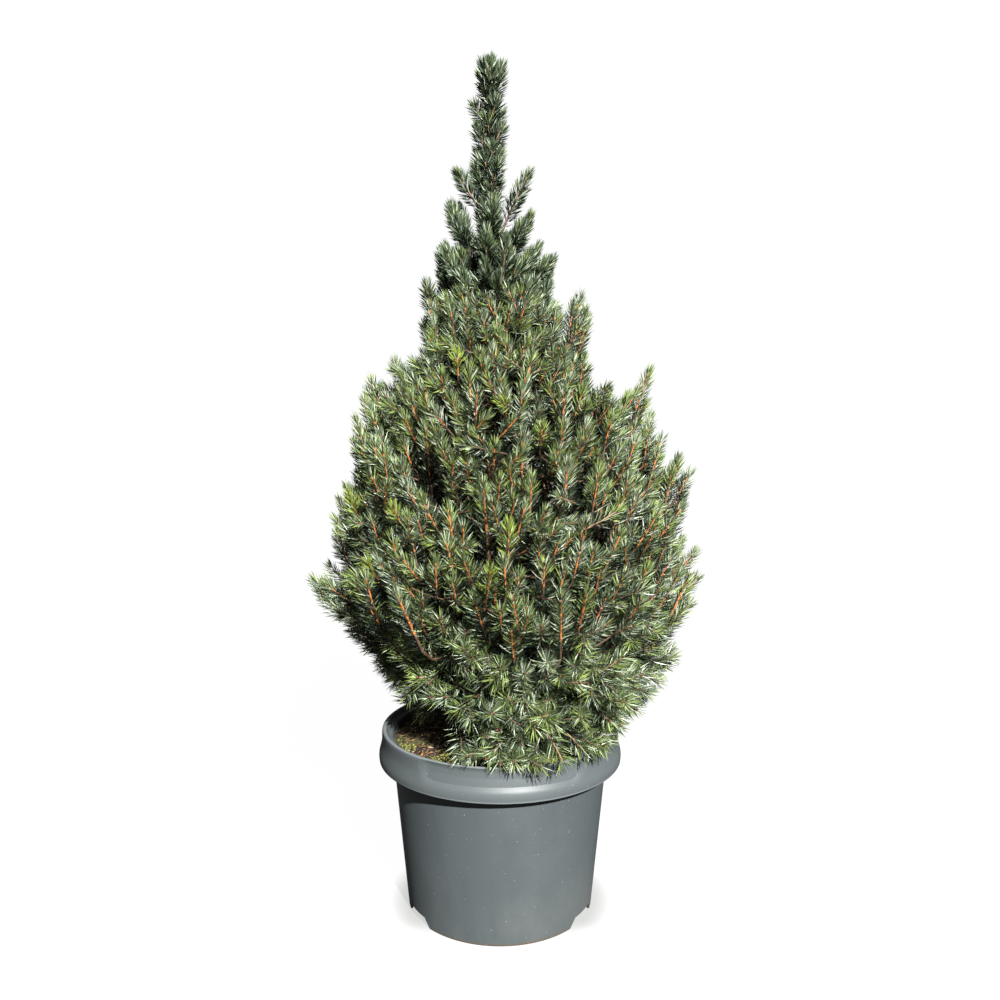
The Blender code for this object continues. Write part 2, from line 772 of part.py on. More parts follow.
def spray_mesh(name, twig, others, space, rng):
    """A three-sided twig that ends in a spray: needles stand out of every band of its outer part."""
    centres, bare = twig["centres"], twig["bare"]
    line = frames(centres, twig["leave"])
    root_radius, end_radius = twig["radii"]
    # A stem's first ring keeps a corner up, as limb_root expects.
    turn = rng.uniform(0.0, 2.0) * (twig["radii"] != STEM_RADII)
    bm = bmesh.new()
    rings = []
    for i, (centre, frame) in enumerate(zip(centres, line, strict=True)):
        radius = root_radius + (end_radius - root_radius) * min(1.0, i / bare)
        if bare < i < len(centres) - 1:
            radius = CORE_RADIUS
        elif i == len(centres) - 1:
            radius = TIP_RADIUS
        rings.append(ring(bm, centre, frame, radius, 3, phase=turn + math.pi / 3 * i))
    for i, (low, high) in enumerate(pairwise(rings)):
        tangent = line[i][0]
        for corner in range(3):
            a, b, c = low[corner], low[(corner + 1) % 3], high[corner]
            bm.faces.new((b, high[(corner + 1) % 3], c))
            middle = (a.co + b.co + c.co) / 3
            root = centres[i].lerp(centres[i + 1], 1 / 3)
            tip = needle_tip(middle, root, tangent, rng)
            needle = i >= bare and (i + corner) % 3 > 0
            if needle and space.holds_line(middle, tip) and clear_of_twigs(middle, tip, others):
                point = bm.verts.new(tip)
                for pair in ((a, b), (b, c), (c, a)):
                    bm.faces.new((*pair, point))
            else:
                bm.faces.new((a, b, c))
    point = bm.verts.new(centres[-1] + line[-1][0] * BUD_LENGTH)
    last = rings[-1]
    for corner in range(3):
        bm.faces.new((last[corner], last[(corner + 1) % 3], point))
    bm.faces.new(rings[0])
    return mesh_of(bm, name)


def needle_tip(middle, root, tangent, rng):
    """A needle leans forward along its twig, and those below the twig bend up a little."""
    side = middle - root
    side = (side - tangent * side.dot(tangent)).normalized()
    angle = NEEDLE_ANGLE + rng.uniform(-0.16, 0.16)
    way = tangent * math.cos(angle) + side * math.sin(angle)
    return middle + way * NEEDLE_LENGTH * rng.uniform(0.88, 1.10)


def union(name, meshes, entry):
    """One body from a mass's stem and sprays: their union, without sealed hollows or loose scraps."""
    group = bpy.data.collections.new(name)
    bpy.context.scene.collection.children.link(group)
    for mesh in meshes[1:]:
        group.objects.link(bpy.data.objects.new(name + "_spray", mesh))
    stem = bpy.data.objects.new(name + "_stem", meshes[0])
    bpy.context.scene.collection.objects.link(stem)
    join = stem.modifiers.new("join", "BOOLEAN")
    join.operation = "UNION"
    join.operand_type = "COLLECTION"
    join.collection = group
    join.solver = "MANIFOLD"
    graph = bpy.context.evaluated_depsgraph_get()
    joined = bpy.data.meshes.new_from_object(stem.evaluated_get(graph))
    for obj in [*group.objects, stem]:
        bpy.data.objects.remove(obj)
    bpy.data.collections.remove(group)
    joined.name = name
    return shell_at(joined, entry)


def shell_at(mesh, place):
    """The mesh with only the shell that reaches nearest to this place."""
    bm = bmesh.new()
    bm.from_mesh(mesh)
    bmesh.ops.triangulate(bm, faces=bm.faces)
    left = set(bm.faces)
    shells = []
    while left:
        shell = {left.pop()}
        edge_of = list(shell)
        while edge_of:
            face = edge_of.pop()
            for edge in face.edges:
                for other in edge.link_faces:
                    if other in left:
                        left.remove(other)
                        shell.add(other)
                        edge_of.append(other)
        shells.append(shell)
    keep = min(shells, key=lambda shell: min((v.co - place).length for face in shell for v in face.verts))
    print(mesh.name, "faces kept", len(keep), "of", len(bm.faces))
    bmesh.ops.delete(bm, geom=[face for face in bm.faces if face not in keep], context="FACES")
    bm.to_mesh(mesh)
    bm.free()
    return mesh


def make_mass(mass):
    """One mass as one solid."""
    rng = random.Random(mass["name"] + " shoots")
    meshes = []
    for number, twig in enumerate(mass["twigs"]):
        others = [other for other in mass["twigs"] if other is not twig]
        meshes.append(spray_mesh(f"{mass['name']}_{number}", twig, others, mass["space"], rng))
    add_object(mass["name"], union(mass["name"], meshes, mass["entry"]), bpy.data.materials["needles"])
    print(mass["name"], "sprays", len(meshes))


def main():
    for obj in list(bpy.data.objects):
        bpy.data.objects.remove(obj, do_unlink=True)
    for name in COLOURS:
        make_material(name)
    make_pot()
    make_soil()
    trunk = trunk_limb()
    add_object("trunk", limb_mesh("trunk", trunk, TRUNK_SIDES, Z_AXIS), bpy.data.materials["bark"])
    masses = plan_masses()
    limbs = [trunk]
    for mass in masses:
        if mass["name"] == "foliage_leader" or not mass["tier"]["bough"]:
            continue
        bough = bough_limb(mass)
        limbs.append(bough)
        name = mass["name"].replace("foliage", "bough")
        add_object(name, limb_mesh(name, bough, BOUGH_SIDES, mass["leave"]), bpy.data.materials["bark"])
        end, before = bough[-1][0], bough[-2][0]
        mass["entry_way"] = (end - before).normalized()
        mass["entry"] = end + mass["entry_way"] * GAP
    masses[-1]["entry"] = masses[-1]["entry"] + Z_AXIS * GAP
    for mass in masses:
        others = [other["heart"] for other in masses if other is not mass]
        mass["space"] = Space(mass["heart"], others, limbs)
    grow_masses(masses)
    for mass in masses:
        make_mass(mass)


main()
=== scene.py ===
# A potted dwarf Alberta spruce. Metres, Z up, the pot's foot on the floor, -Y is the front.
import math
import random
from itertools import chain, pairwise

import bmesh
import bpy
import numpy as np
from mathutils import Matrix, Vector, noise


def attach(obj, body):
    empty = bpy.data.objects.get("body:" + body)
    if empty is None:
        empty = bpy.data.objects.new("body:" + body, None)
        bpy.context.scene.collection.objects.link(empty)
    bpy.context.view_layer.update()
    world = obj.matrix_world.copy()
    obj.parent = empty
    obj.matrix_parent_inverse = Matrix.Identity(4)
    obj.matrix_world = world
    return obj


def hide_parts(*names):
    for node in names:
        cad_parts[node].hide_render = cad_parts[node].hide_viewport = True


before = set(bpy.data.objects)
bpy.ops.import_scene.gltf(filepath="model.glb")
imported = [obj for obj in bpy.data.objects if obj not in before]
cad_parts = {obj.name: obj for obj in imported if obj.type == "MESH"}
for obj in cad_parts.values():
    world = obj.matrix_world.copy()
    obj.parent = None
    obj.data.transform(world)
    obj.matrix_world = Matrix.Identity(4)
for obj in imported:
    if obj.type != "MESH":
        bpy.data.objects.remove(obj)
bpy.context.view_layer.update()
print("frame loaded:", len(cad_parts), "nodes")

zAxis = Vector((0, 0, 1))
gap = 0.0003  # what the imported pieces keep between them
goldenAngle = math.pi * (3 - math.sqrt(5))


def between(rows, at, column):
    # a column of rows, read in a straight line between the rows' first values
    if at <= rows[0][0]:
        return rows[0][column]
    for low, high in pairwise(rows):
        if at <= high[0]:
            share = (at - low[0]) / (high[0] - low[0])
            return low[column] + share * (high[column] - low[column])
    return rows[-1][column]


def smooth(share):
    share = min(1.0, max(0.0, share))
    return share * share * (3 - 2 * share)


def outward(azimuth):
    return Vector((math.cos(azimuth), math.sin(azimuth), 0.0))


def sloped(way, slope):
    return (way + zAxis * slope).normalized()


def azimuthGap(a, b):
    return abs((a - b + math.pi) % (2 * math.pi) - math.pi)


def hermite(start, startSlope, end, endSlope, steps):
    points = []
    for t in (step / steps for step in range(steps + 1)):
        leave = startSlope * (t**3 - 2 * t**2 + t)
        arrive = endSlope * (t**3 - t**2)
        points.append(start * (2 * t**3 - 3 * t**2 + 1) + leave + end * (3 * t**2 - 2 * t**3) + arrive)
    return points


class Wire:
    # a shader socket that sums and products can be written with
    def __init__(self, finish, socket):
        self.finish = finish
        self.socket = socket

    def maths(self, operation, *values):
        return self.finish.add("ShaderNodeMath", {"operation": operation}, dict(enumerate(values)))

    def __add__(self, other):
        return self.maths("ADD", self, other)

    def __mul__(self, other):
        return self.maths("MULTIPLY", self, other)

    def __rsub__(self, other):
        return self.maths("SUBTRACT", other, self)

    __radd__ = __add__
    __rmul__ = __mul__


class Finish:
    # one material and its nodes
    def __init__(self, name, colour, roughness):
        self.material = bpy.data.materials.new(name)
        self.material.use_nodes = True
        self.tree = self.material.node_tree
        self.shader = self.tree.nodes["Principled BSDF"]
        self.set("Base Color", (*colour, 1.0))
        self.set("Roughness", roughness)

    def feed(self, socket, value):
        # a wire is linked, and anything else is the socket's value
        if isinstance(value, Wire):
            self.tree.links.new(value.socket, socket)
        else:
            socket.default_value = value

    def set(self, socket, value):
        self.feed(self.shader.inputs[socket], value)

    def add(self, kind, settings, sockets, output=0):
        node = self.tree.nodes.new(kind)
        for key, value in settings.items():
            setattr(node, key, value)
        for key, value in sockets.items():
            self.feed(node.inputs[key], value)
        return Wire(self, node.outputs[output])

    def place(self, scale=(1, 1, 1)):
        coordinates = self.add("ShaderNodeTexCoord", {}, {}, "Object")
        return self.add("ShaderNodeMapping", {}, {"Vector": coordinates, "Scale": scale})

    def along(self, axis):
        return self.add("ShaderNodeSeparateXYZ", {}, {"Vector": self.place()}, axis)

    def noise(self, scale, detail, stretch=(1, 1, 1), roughness=0.5):
        sockets = {"Vector": self.place(stretch), "Scale": scale, "Detail": detail, "Roughness": roughness}
        return self.add("ShaderNodeTexNoise", {}, sockets)

    def ramp(self, factor, low, high):
        # 0 below low, 1 above high
        sockets = {"Value": factor, "From Min": low, "From Max": high}
        return self.add("ShaderNodeMapRange", {"interpolation_type": "SMOOTHSTEP"}, sockets)

    def blend(self, factor, first, second):
        # sockets 6 and 7 of a Mix node are its colours, and output 2 is the mixed colour
        values = {0: factor}
        for socket, colour in ((6, first), (7, second)):
            values[socket] = colour if isinstance(colour, Wire) else (*colour, 1.0)
        return self.add("ShaderNodeMix", {"data_type": "RGBA"}, values, 2)

    def layered(self, base, layers):
        # the base colour under each layer in turn: its factor, the most of it that shows, and its colour
        for factor, most, colour in layers:
            base = self.blend(factor * most, base, colour)
        self.set("Base Color", base)

    def bump(self, height, distance, strength):
        sockets = {"Height": height, "Distance": distance, "Strength": strength}
        self.set("Normal", self.add("ShaderNodeBump", {}, sockets))


def addObject(name, data):
    made = bpy.data.objects.new(name, data)
    bpy.context.scene.collection.objects.link(made)
    return made


def finishPiece(name, mesh, materials, slot, *replaced):
    mesh.name = name
    for material in materials:
        mesh.materials.append(material)
    piece = addObject(name, mesh)
    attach(piece, "root")
    if replaced:
        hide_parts(*replaced)
    return piece


def meshOf(bm, name):
    mesh = bpy.data.meshes.new(name)
    bm.to_mesh(mesh)
    bm.free()
    return mesh


def smoothed(mesh, sharpAngle):
    mesh.shade_smooth()
    mesh.set_sharp_from_angle(angle=math.radians(sharpAngle))
    return mesh


def spun(profile, sides):
    # a closed turned body from a profile that starts and ends on the axis
    bm = bmesh.new()
    points = [bm.verts.new((radius, 0.0, height)) for radius, height in profile]
    edges = [bm.edges.new(pair) for pair in pairwise(points)]
    turn = {"cent": (0, 0, 0), "axis": (0, 0, 1), "angle": 2 * math.pi}
    bmesh.ops.spin(bm, geom=points + edges, steps=sides, use_merge=True, **turn)
    bmesh.ops.remove_doubles(bm, verts=bm.verts, dist=1e-6)
    bmesh.ops.recalc_face_normals(bm, faces=bm.faces)
    return bm


def meshFromArrays(name, points, triangles, tones=None):
    # a joined mesh of many small forms
    mesh = bpy.data.meshes.new(name)
    mesh.vertices.add(len(points))
    mesh.vertices.foreach_set("co", np.asarray(points, np.float32).ravel())
    mesh.loops.add(len(triangles) * 3)
    mesh.loops.foreach_set("vertex_index", np.asarray(triangles, np.int32).ravel())
    mesh.polygons.add(len(triangles))
    mesh.polygons.foreach_set("loop_start", np.arange(0, len(triangles) * 3, 3, dtype=np.int32))
    if tones is not None:
        mesh.polygons.foreach_set("material_index", np.asarray(tones, np.int32))
    mesh.update(calc_edges=True)
    mesh.validate()
    mesh.shade_smooth()
    return mesh


def repeated(faces, count, corners):
    # the faces of many equal forms, each with its own corners
    offsets = (np.arange(count) * corners)[:, None, None]
    return (np.asarray(faces)[None] + offsets).reshape(-1, 3)


pot = {
    "height": 0.196,
    "collarRadius": 0.130,
    "lipHeight": 0.1615,
    "baseRadius": 0.100,
    "topRadius": 0.115,  # of the wall, at the collar's lip
    "wall": 0.002,
    "ledgeDrop": 0.0065,
    "footPad": 0.072,
    "floorHeight": 0.010,
    "sides": 160,
    "sharpAngle": 32,
}
soil = {"edgeHeight": 0.1835, "crownHeight": 0.188}
trunk = {
    "foot": soil["crownHeight"] + gap,
    "tip": 0.778,
    "lean": -0.010,
    "sway": 0.004,
    "backShare": 0.8,  # of the sway, to the back and the front
    "sides": 10,
    # at each height above its foot
    "radii": (
        (0.0, 0.0150), (0.012, 0.0112), (0.035, 0.0095), (0.25, 0.0072), (0.45, 0.0042), (0.60, 0.0024),
    ),
    "flareRings": (0.0, 0.004, 0.012, 0.035),
    "ringsAbove": 11,
}  # fmt: skip
crown = {
    "foot": 0.205,
    "top": 0.888,
    "openSide": {"azimuth": -138.0, "halfWidth": 42.0, "rise": 0.045},  # where the soil shows
    # height, half width, shift to the right
    "rows": (
        (0.195, 0.118, 0.012), (0.230, 0.140, 0.024), (0.270, 0.158, 0.026), (0.310, 0.172, 0.018),
        (0.360, 0.180, 0.012), (0.420, 0.176, 0.012), (0.470, 0.163, 0.012), (0.520, 0.142, 0.008),
        (0.560, 0.118, 0.002), (0.600, 0.088, 0.000), (0.640, 0.068, 0.000), (0.690, 0.050, 0.000),
        (0.740, 0.036, 0.000), (0.790, 0.022, 0.000), (0.840, 0.014, 0.000), (0.880, 0.004, 0.000),
    ),
    # height, and how far to the left a twig may reach there under the overhang
    "leftEdge": (
        (0.23, 0.108), (0.269, 0.126), (0.285, 0.150), (0.309, 0.172), (0.335, 0.186), (0.361, 0.205),
    ),
    "areaSteps": 60,
    "evenSteps": (0.5698402909980532, 0.7548776662466927),  # they never line up, across the crown and up it
}  # fmt: skip
# where a tier's boughs root, where its masses lie and how far they rise and reach, and their azimuths
tierKeys = ("name", "root", "heart", "share", "rise", "reach", "slope", "bough", "azimuths")
tierRows = (
    ("skirt", 0.205, 0.240, 0.70, 0.020, 1.04, 0.35, True, (-92, -47, 2, 58, 118, 178)),
    ("lower", 0.238, 0.318, 0.70, 0.060, 1.04, 0.75, True, (-122, -66, -8, 54, 112, 172)),
    ("middle", 0.312, 0.404, 0.68, 0.078, 0.98, 0.75, True, (-96, -38, 4, 70, 128, 182)),
    ("upper", 0.402, 0.492, 0.62, 0.086, 1.00, 0.75, True, (-122, -58, 2, 78, 176)),
    ("shoulder", 0.545, 0.582, 0.52, 0.066, 1.00, 0.80, False, (-84, 8, 98, 186)),
    ("neck", 0.628, 0.660, 0.52, 0.044, 1.10, 0.80, False, (-72, 40, 176)),
    ("spire", 0.700, 0.736, 0.55, 0.046, 1.45, 0.80, False, (-18, 98, 206)),
)
tiers = [dict(zip(tierKeys, row, strict=True)) for row in tierRows]
boughs = {
    "stagger": 0.011,  # three heights in turn
    "liftShare": 0.5,  # of the lift where the soil shows, for the root
    "leaveSlope": 0.35,
    "steps": 4,
    "share": 0.50,  # where a bough ends, as a share of the way to the heart
    "radii": {
        "skirt": (0.0042, 0.0030),
        "lower": (0.0052, 0.0033),
        "middle": (0.0048, 0.0031),
        "upper": (0.0040, 0.0028),
    },
}
# shoots of the source first, then many finer ones that fill the same spaces
shoots = {
    "first": 207,
    "firstSeed": 1000,
    "firstTop": 0.70,
    "firstInner": (0.45, 0.72),  # shares of the way out at which the dark inner shoots end
    "firstOuter": (0.88, 1.02),
    "finer": 2400,
    "finerSeed": 77,
    "finerTop": 0.655,  # above it the shoots of the spire take over
    "thinTop": 0.04,  # and a third of the finer ones end this much further up
    "finerInner": (0.08, 0.70),
    "finerOuter": (0.80, 1.03),
    "uprightPart": 0.55,  # of the finer outer ones
    "reachShares": ((0.20, 0.86), (0.26, 0.89), (0.32, 0.93), (0.38, 1.0)),  # low shoots end further in
    # azimuth in degrees, height and half height of a hollow in the outline, and how deep a share it takes
    "hollows": (
        (186, 0.604, 0.026, 0.32), (0, 0.662, 0.016, 0.30), (-4, 0.600, 0.020, 0.15),
        (184, 0.285, 0.05, 0.14), (-2, 0.352, 0.016, 0.10),
    ),
    "hollowSide": 40,  # degrees to where a hollow ends on either side
    # finer shoots round a proud one: degrees to either side, how far down, and how far in for that
    "roundProud": {
        "count": 8,
        "turn": 9,
        "drop": (0.004, 0.048),
        "footDrop": 0.006,
        "dropRise": 0.25,
        "inwardLow": (0.6, 1.6),
        "inwardHigh": (0.0, 0.9),
        "lowBelow": 0.40,
        "droopBelow": 0.35,
        "lowest": 0.2,
    },
    "overRim": {"count": 230, "height": (0.200, 0.250), "share": (0.78, 1.12), "below": 0.006},
    # ranges of a shoot's rise about the usual, and of its turn to either side, in degrees
    "upright": (-14, 12, 24),
    "spreading": (-62, -12, 62),
    "drooping": (-44, 6, 45),
    "innerEvery": 5,
    "innerTop": 0.62,
    "innerLonger": 1.4,
    "topShare": 0.045,
    "length": 0.074,
    "leaderLength": 0.104,
    "finerLength": (0.032, 0.056),
    "shortest": 0.018,
    "pastTip": 0.0074,  # how far the needles stand past a proud tip
    "brush": 0.004,  # how far the last needles stand past the end of a shoot
    "bow": 0.30,  # how much more upright a finer shoot is at its tip than at its foot
    "stemRadii": (0.0026, 0.0009),
    "twigRadii": (0.0016, 0.0008),
    "finerRadii": (0.0011, 0.0008),
    "twigMargin": 0.0025,
    "twigClearance": 0.0060,
    "finerClearance": 0.0030,
    "tipMargin": 0.007,
    "passes": 4,  # over the walls of a space, to bring a tip clear of all of them
    "potMargin": 0.004,
    "rimMargin": 0.003,
    "shortestTwig": 0.010,  # from a fork to the foot of the shoot
    "stemShare": 0.7,  # the most of a mass's stem that is its shoot
    "curveSteps": 4,
    "shootSteps": 5,
    "finerSteps": 3,
    "footPull": 0.75,
    "forkTurn": 1.6,
    "bendCost": 1.2,
    "forksTried": 4,
    "closestTips": 0.012,
    "tipSpread": 0.065,
    "closestFiner": 0.0105,
    # how steeply a shoot points, in degrees, by the height of its tip
    "rise": (
        (0.20, -6), (0.24, 6), (0.29, 24), (0.34, 46), (0.38, 61),
        (0.44, 69), (0.55, 73), (0.70, 71), (0.80, 78),
    ),
    # those that stand out past the rest: azimuth in degrees, the tip's height and distance from the axis
    "proud": (
        (-4, 0.682, 0.058), (-2, 0.653, 0.090), (-20, 0.628, 0.102), (2, 0.577, 0.165),
        (-14, 0.552, 0.142), (-2, 0.530, 0.165), (2, 0.507, 0.180), (-4, 0.487, 0.194),
        (-8, 0.474, 0.205), (2, 0.384, 0.218), (-10, 0.338, 0.208), (6, 0.271, 0.200),
        (-14, 0.240, 0.168), (190, 0.664, 0.083), (184, 0.586, 0.117), (176, 0.568, 0.144),
        (180, 0.546, 0.150), (186, 0.528, 0.158), (190, 0.504, 0.160), (176, 0.440, 0.182),
        (186, 0.424, 0.182), (180, 0.456, 0.170), (180, 0.384, 0.178), (184, 0.358, 0.206),
        (177, 0.368, 0.192), (189, 0.356, 0.192), (181, 0.340, 0.188), (187, 0.322, 0.178),
        (172, 0.306, 0.173), (183, 0.304, 0.166), (178, 0.288, 0.153), (187, 0.272, 0.138),
        (190, 0.258, 0.128), (-104, 0.208, 0.140), (-84, 0.206, 0.148), (-66, 0.203, 0.158),
        (-48, 0.210, 0.158), (-28, 0.216, 0.148),
    ),
}  # fmt: skip
spire = {
    "from": 0.664,
    "to": 0.862,
    "every": 0.0052,
    "length": (0.018, 0.029),
    "offUpright": (20, 38),  # degrees
    "bluntFrom": 0.832,  # above it they are steeper, and end level with the tip
    "bluntTop": 0.881,
    "bluntTilt": 0.55,
    "seed": 5,
    "footBow": 0.5,  # how much flatter a shoot leaves the stem than it lies
    "tipBow": 0.4,
    "steps": 6,
    "leaderHeart": 0.45,
    "leaderAside": 0.001,
    # where the two long side shoots end
    "tips": {"foliage_spire_1": (0.030, -0.006, 0.775), "foliage_spire_3": (-0.044, -0.010, 0.774)},
    # the tufts round them: azimuth in degrees, height of foot and tip, the tip's distance from the axis,
    # and how many shorter shoots stand beside
    "tufts": (
        (190, 0.750, 0.779, 0.016, 0), (172, 0.766, 0.795, 0.013, 0), (180, 0.662, 0.742, 0.041, 3),
        (-4, 0.668, 0.731, 0.040, 3), (-4, 0.636, 0.686, 0.062, 3), (-8, 0.642, 0.700, 0.048, 3),
        (184, 0.640, 0.700, 0.048, 3), (176, 0.622, 0.672, 0.054, 3), (-86, 0.690, 0.742, 0.026, 3),
        (-100, 0.655, 0.712, 0.034, 3), (-70, 0.640, 0.690, 0.042, 3), (100, 0.680, 0.735, 0.034, 3),
        (58, 0.660, 0.715, 0.036, 3), (150, 0.650, 0.690, 0.042, 3),
    ),
    "besideFork": (0.2, 0.5),
    "besideTip": (0.75, 0.95),
    "besideSpread": 0.007,
}  # fmt: skip


def wallRadius(height):
    slope = (pot["topRadius"] - pot["baseRadius"]) / pot["lipHeight"]
    return pot["baseRadius"] + slope * height


def trunkAxis(height):
    share = (height - trunk["foot"]) / (trunk["tip"] - trunk["foot"])
    aside = trunk["lean"] * smooth(share) + trunk["sway"] * math.sin(math.pi * share) * (1 - share)
    back = trunk["sway"] * trunk["backShare"] * math.sin(2 * math.pi * share)
    return Vector((aside, back, height))


def trunkRadius(height):
    return between(trunk["radii"], height - trunk["foot"], 1)


def crownReach(height, azimuth):
    return between(crown["rows"], height, 1) + between(crown["rows"], height, 2) * math.cos(azimuth)


def crownPoint(height, azimuth, share=1.0):
    return trunkAxis(height) + outward(azimuth) * crownReach(height, azimuth) * share


def crownFoot(azimuth):
    side = crown["openSide"]
    away = math.degrees(azimuthGap(azimuth, math.radians(side["azimuth"])))
    return crown["foot"] + side["rise"] * smooth(2 - 2 * away / side["halfWidth"])


def shootDirection(height, azimuth, rng, spread):
    rise = math.radians(between(shoots["rise"], height, 1) + rng.uniform(*spread[:2]))
    side = azimuth + math.radians(rng.uniform(-spread[2], spread[2]))
    return outward(side) * math.cos(rise) + zAxis * math.sin(rise)


class Space:
    # what lies nearer to a mass's heart than to any other heart, clear of the limbs
    def __init__(self, heart, others, limbs):
        self.walls = [((heart + other) / 2, (heart - other).normalized()) for other in others]
        self.limbs = limbs

    def clear(self, point, clearance):
        if -point.x > between(crown["leftEdge"], point.z, 1):
            return False
        return clearOfPot(point) and all(limbGap(point, limb) > clearance for limb in self.limbs)

    def holds(self, point):
        for onWall, inward in self.walls:
            if (point - onWall).dot(inward) < shoots["twigMargin"]:
                return False
        return self.clear(point, shoots["twigClearance"])

    def settled(self, point):
        # the point, moved in from any wall that it stands too near
        for _ in range(shoots["passes"]):
            for onWall, inward in self.walls:
                short = shoots["tipMargin"] - (point - onWall).dot(inward)
                if short > 0:
                    point = point + inward * short
        return point

    def room(self, tip, way, wanted):
        # how far back from its tip a straight shoot can start inside this space
        for onWall, inward in self.walls:
            closing = way.dot(inward)
            if closing > 0:
                wanted = min(wanted, ((tip - onWall).dot(inward) - shoots["tipMargin"]) / closing)
        return max(wanted, shoots["shortest"])


def clearOfPot(point):
    radius = math.hypot(point.x, point.y)
    if radius > pot["collarRadius"] + shoots["potMargin"]:
        return point.z > pot["lipHeight"]
    if radius > wallRadius(pot["height"] - pot["ledgeDrop"]) - shoots["potMargin"]:
        return point.z > pot["height"] + shoots["rimMargin"]
    return point.z > soil["crownHeight"] + shoots["potMargin"]


def limbGap(point, limb):
    nearest = math.inf
    for (a, radiusA), (b, radiusB) in pairwise(limb):
        along = b - a
        share = min(1.0, max(0.0, (point - a).dot(along) / along.length_squared))
        reach = (point - a - along * share).length
        nearest = min(nearest, reach - radiusA - share * (radiusB - radiusA))
    return nearest


def trunkLimb():
    heights = [trunk["foot"] + rise for rise in trunk["flareRings"]]
    flare, count = heights[-1], trunk["ringsAbove"]
    heights += [flare + (trunk["tip"] - flare) * (number + 1) / count for number in range(count)]
    return [(trunkAxis(height), trunkRadius(height)) for height in heights]


def trunkSkin(height, azimuth):
    halfFacet = math.pi / trunk["sides"]
    fromMiddle = azimuth % (2 * halfFacet) - halfFacet
    return trunkRadius(height) * math.cos(halfFacet) / math.cos(fromMiddle)


def limbRoot(height, direction, radius):
    azimuth = math.atan2(direction.y, direction.x)
    flat = math.hypot(direction.x, direction.y)
    nearestCorner = height + trunkSkin(height, azimuth) * direction.z / flat + radius * flat
    reach = trunkSkin(nearestCorner, azimuth) + gap + radius * direction.z
    return trunkAxis(height) + direction * (reach / flat)


def boughLimb(mass):
    rootRadius, endRadius = boughs["radii"][mass["tier"]["name"]]
    root = limbRoot(mass["root"], mass["leave"], rootRadius)
    end = mass["entry"]
    length = (end - root).length
    points = hermite(root, mass["leave"] * length, end, mass["entryWay"] * length, boughs["steps"])
    taper = (endRadius - rootRadius) / boughs["steps"]
    return [(point, rootRadius + taper * step) for step, point in enumerate(points)]


def planMasses():
    masses = []
    for tier in tiers:
        for number, degrees in enumerate(tier["azimuths"]):
            azimuth = math.radians(degrees)
            lift = crownFoot(azimuth) - crown["foot"] if tier["name"] == "skirt" else 0.0
            heart = crownPoint(tier["heart"] + lift, azimuth, tier["share"])
            root = tier["root"] + lift * boughs["liftShare"] + boughs["stagger"] * (number % 3)
            mass = {
                "name": f"foliage_{tier['name']}_{number + 1}",
                "tier": tier,
                "azimuth": azimuth,
                "root": root,
                "heart": heart,
                "tip": crownPoint(tier["heart"] + lift + tier["rise"], azimuth, tier["reach"]),
                "entryWay": sloped(outward(azimuth), tier["slope"]),
            }
            if tier["bough"]:
                mass["entry"] = trunkAxis(root).lerp(heart, boughs["share"])
                mass["leave"] = sloped(outward(azimuth), boughs["leaveSlope"])
            else:
                mass["entry"] = limbRoot(root, mass["entryWay"], shoots["stemRadii"][0])
            masses.append(mass)
    foot = trunkAxis(trunk["tip"])
    top = Vector((foot.x, foot.y, crown["top"]))
    leader = {
        "name": "foliage_leader",
        "tier": {"name": "leader", "bough": False},
        "azimuth": 0.0,
        "heart": foot.lerp(top, spire["leaderHeart"]),
        "entry": foot + zAxis * gap,
        "entryWay": zAxis,
        "tip": Vector((foot.x + spire["leaderAside"], foot.y, crown["top"])),
    }
    return [*masses, leader]


def crownArea():
    # rows of the share of the crown's surface that lies below a height, and that height
    steps, foot = crown["areaSteps"], crown["foot"]
    top = crown["rows"][-1][0]
    heights = [foot + (top - foot) * step / steps for step in range(steps + 1)]
    total = 0.0
    rows = [(0.0, heights[0])]
    for low, high in pairwise(heights):
        total += between(crown["rows"], (low + high) / 2, 1) + shoots["topShare"]
        rows.append((total, high))
    return [(row[0] / total, row[1]) for row in rows]


def target(number, area):
    # places that are spread evenly over the crown, however many are taken
    across, up = ((0.5 + number * step) % 1.0 for step in crown["evenSteps"])
    return between(area, up, 1), across * 2 * math.pi


def shootOf(tip, way, length, finer, inner=False):
    return {"tip": tip, "way": way, "length": length, "finer": finer, "inner": inner}


def firstShoots(area):
    # the tips of the source's shoots and the way that each one points
    proud = len(shoots["proud"])
    for number in range(proud + shoots["first"]):
        rng = random.Random(shoots["firstSeed"] + number)
        inner = False
        if number < proud:
            degrees, height, reach = shoots["proud"][number]
            azimuth = math.radians(degrees)
            tip = outward(azimuth) * (reach - shoots["pastTip"]) + zAxis * height
        else:
            height, azimuth = target(number - proud, area)
            inner = number % shoots["innerEvery"] == 0 and height < shoots["innerTop"]
            share = rng.uniform(*shoots["firstInner" if inner else "firstOuter"])
            tip = crownPoint(height, azimuth, share * reachShare(height, azimuth))
        if number < proud or crownFoot(azimuth) < height < shoots["firstTop"]:
            way = shootDirection(height, azimuth, rng, shoots["upright"])
            yield shootOf(tip, way, shoots["length"], False, inner)


def reachShare(height, azimuth):
    # what share of the crown's reach a shoot may take up
    share = between(shoots["reachShares"], height, 1)
    for degrees, middle, halfHeight, hollow in shoots["hollows"]:
        aside = azimuthGap(azimuth, math.radians(degrees)) / math.radians(shoots["hollowSide"])
        share *= 1 - hollow * smooth(1 - max(aside, abs(height - middle) / halfHeight))
    return share


def finerShoot(tip, azimuth, rng, spread, inner=False):
    way = shootDirection(tip.z, azimuth, rng, shoots[spread])
    length = rng.uniform(*shoots["finerLength"]) * (shoots["innerLonger"] if inner else 1.0)
    return shootOf(tip, way, length, True, inner)


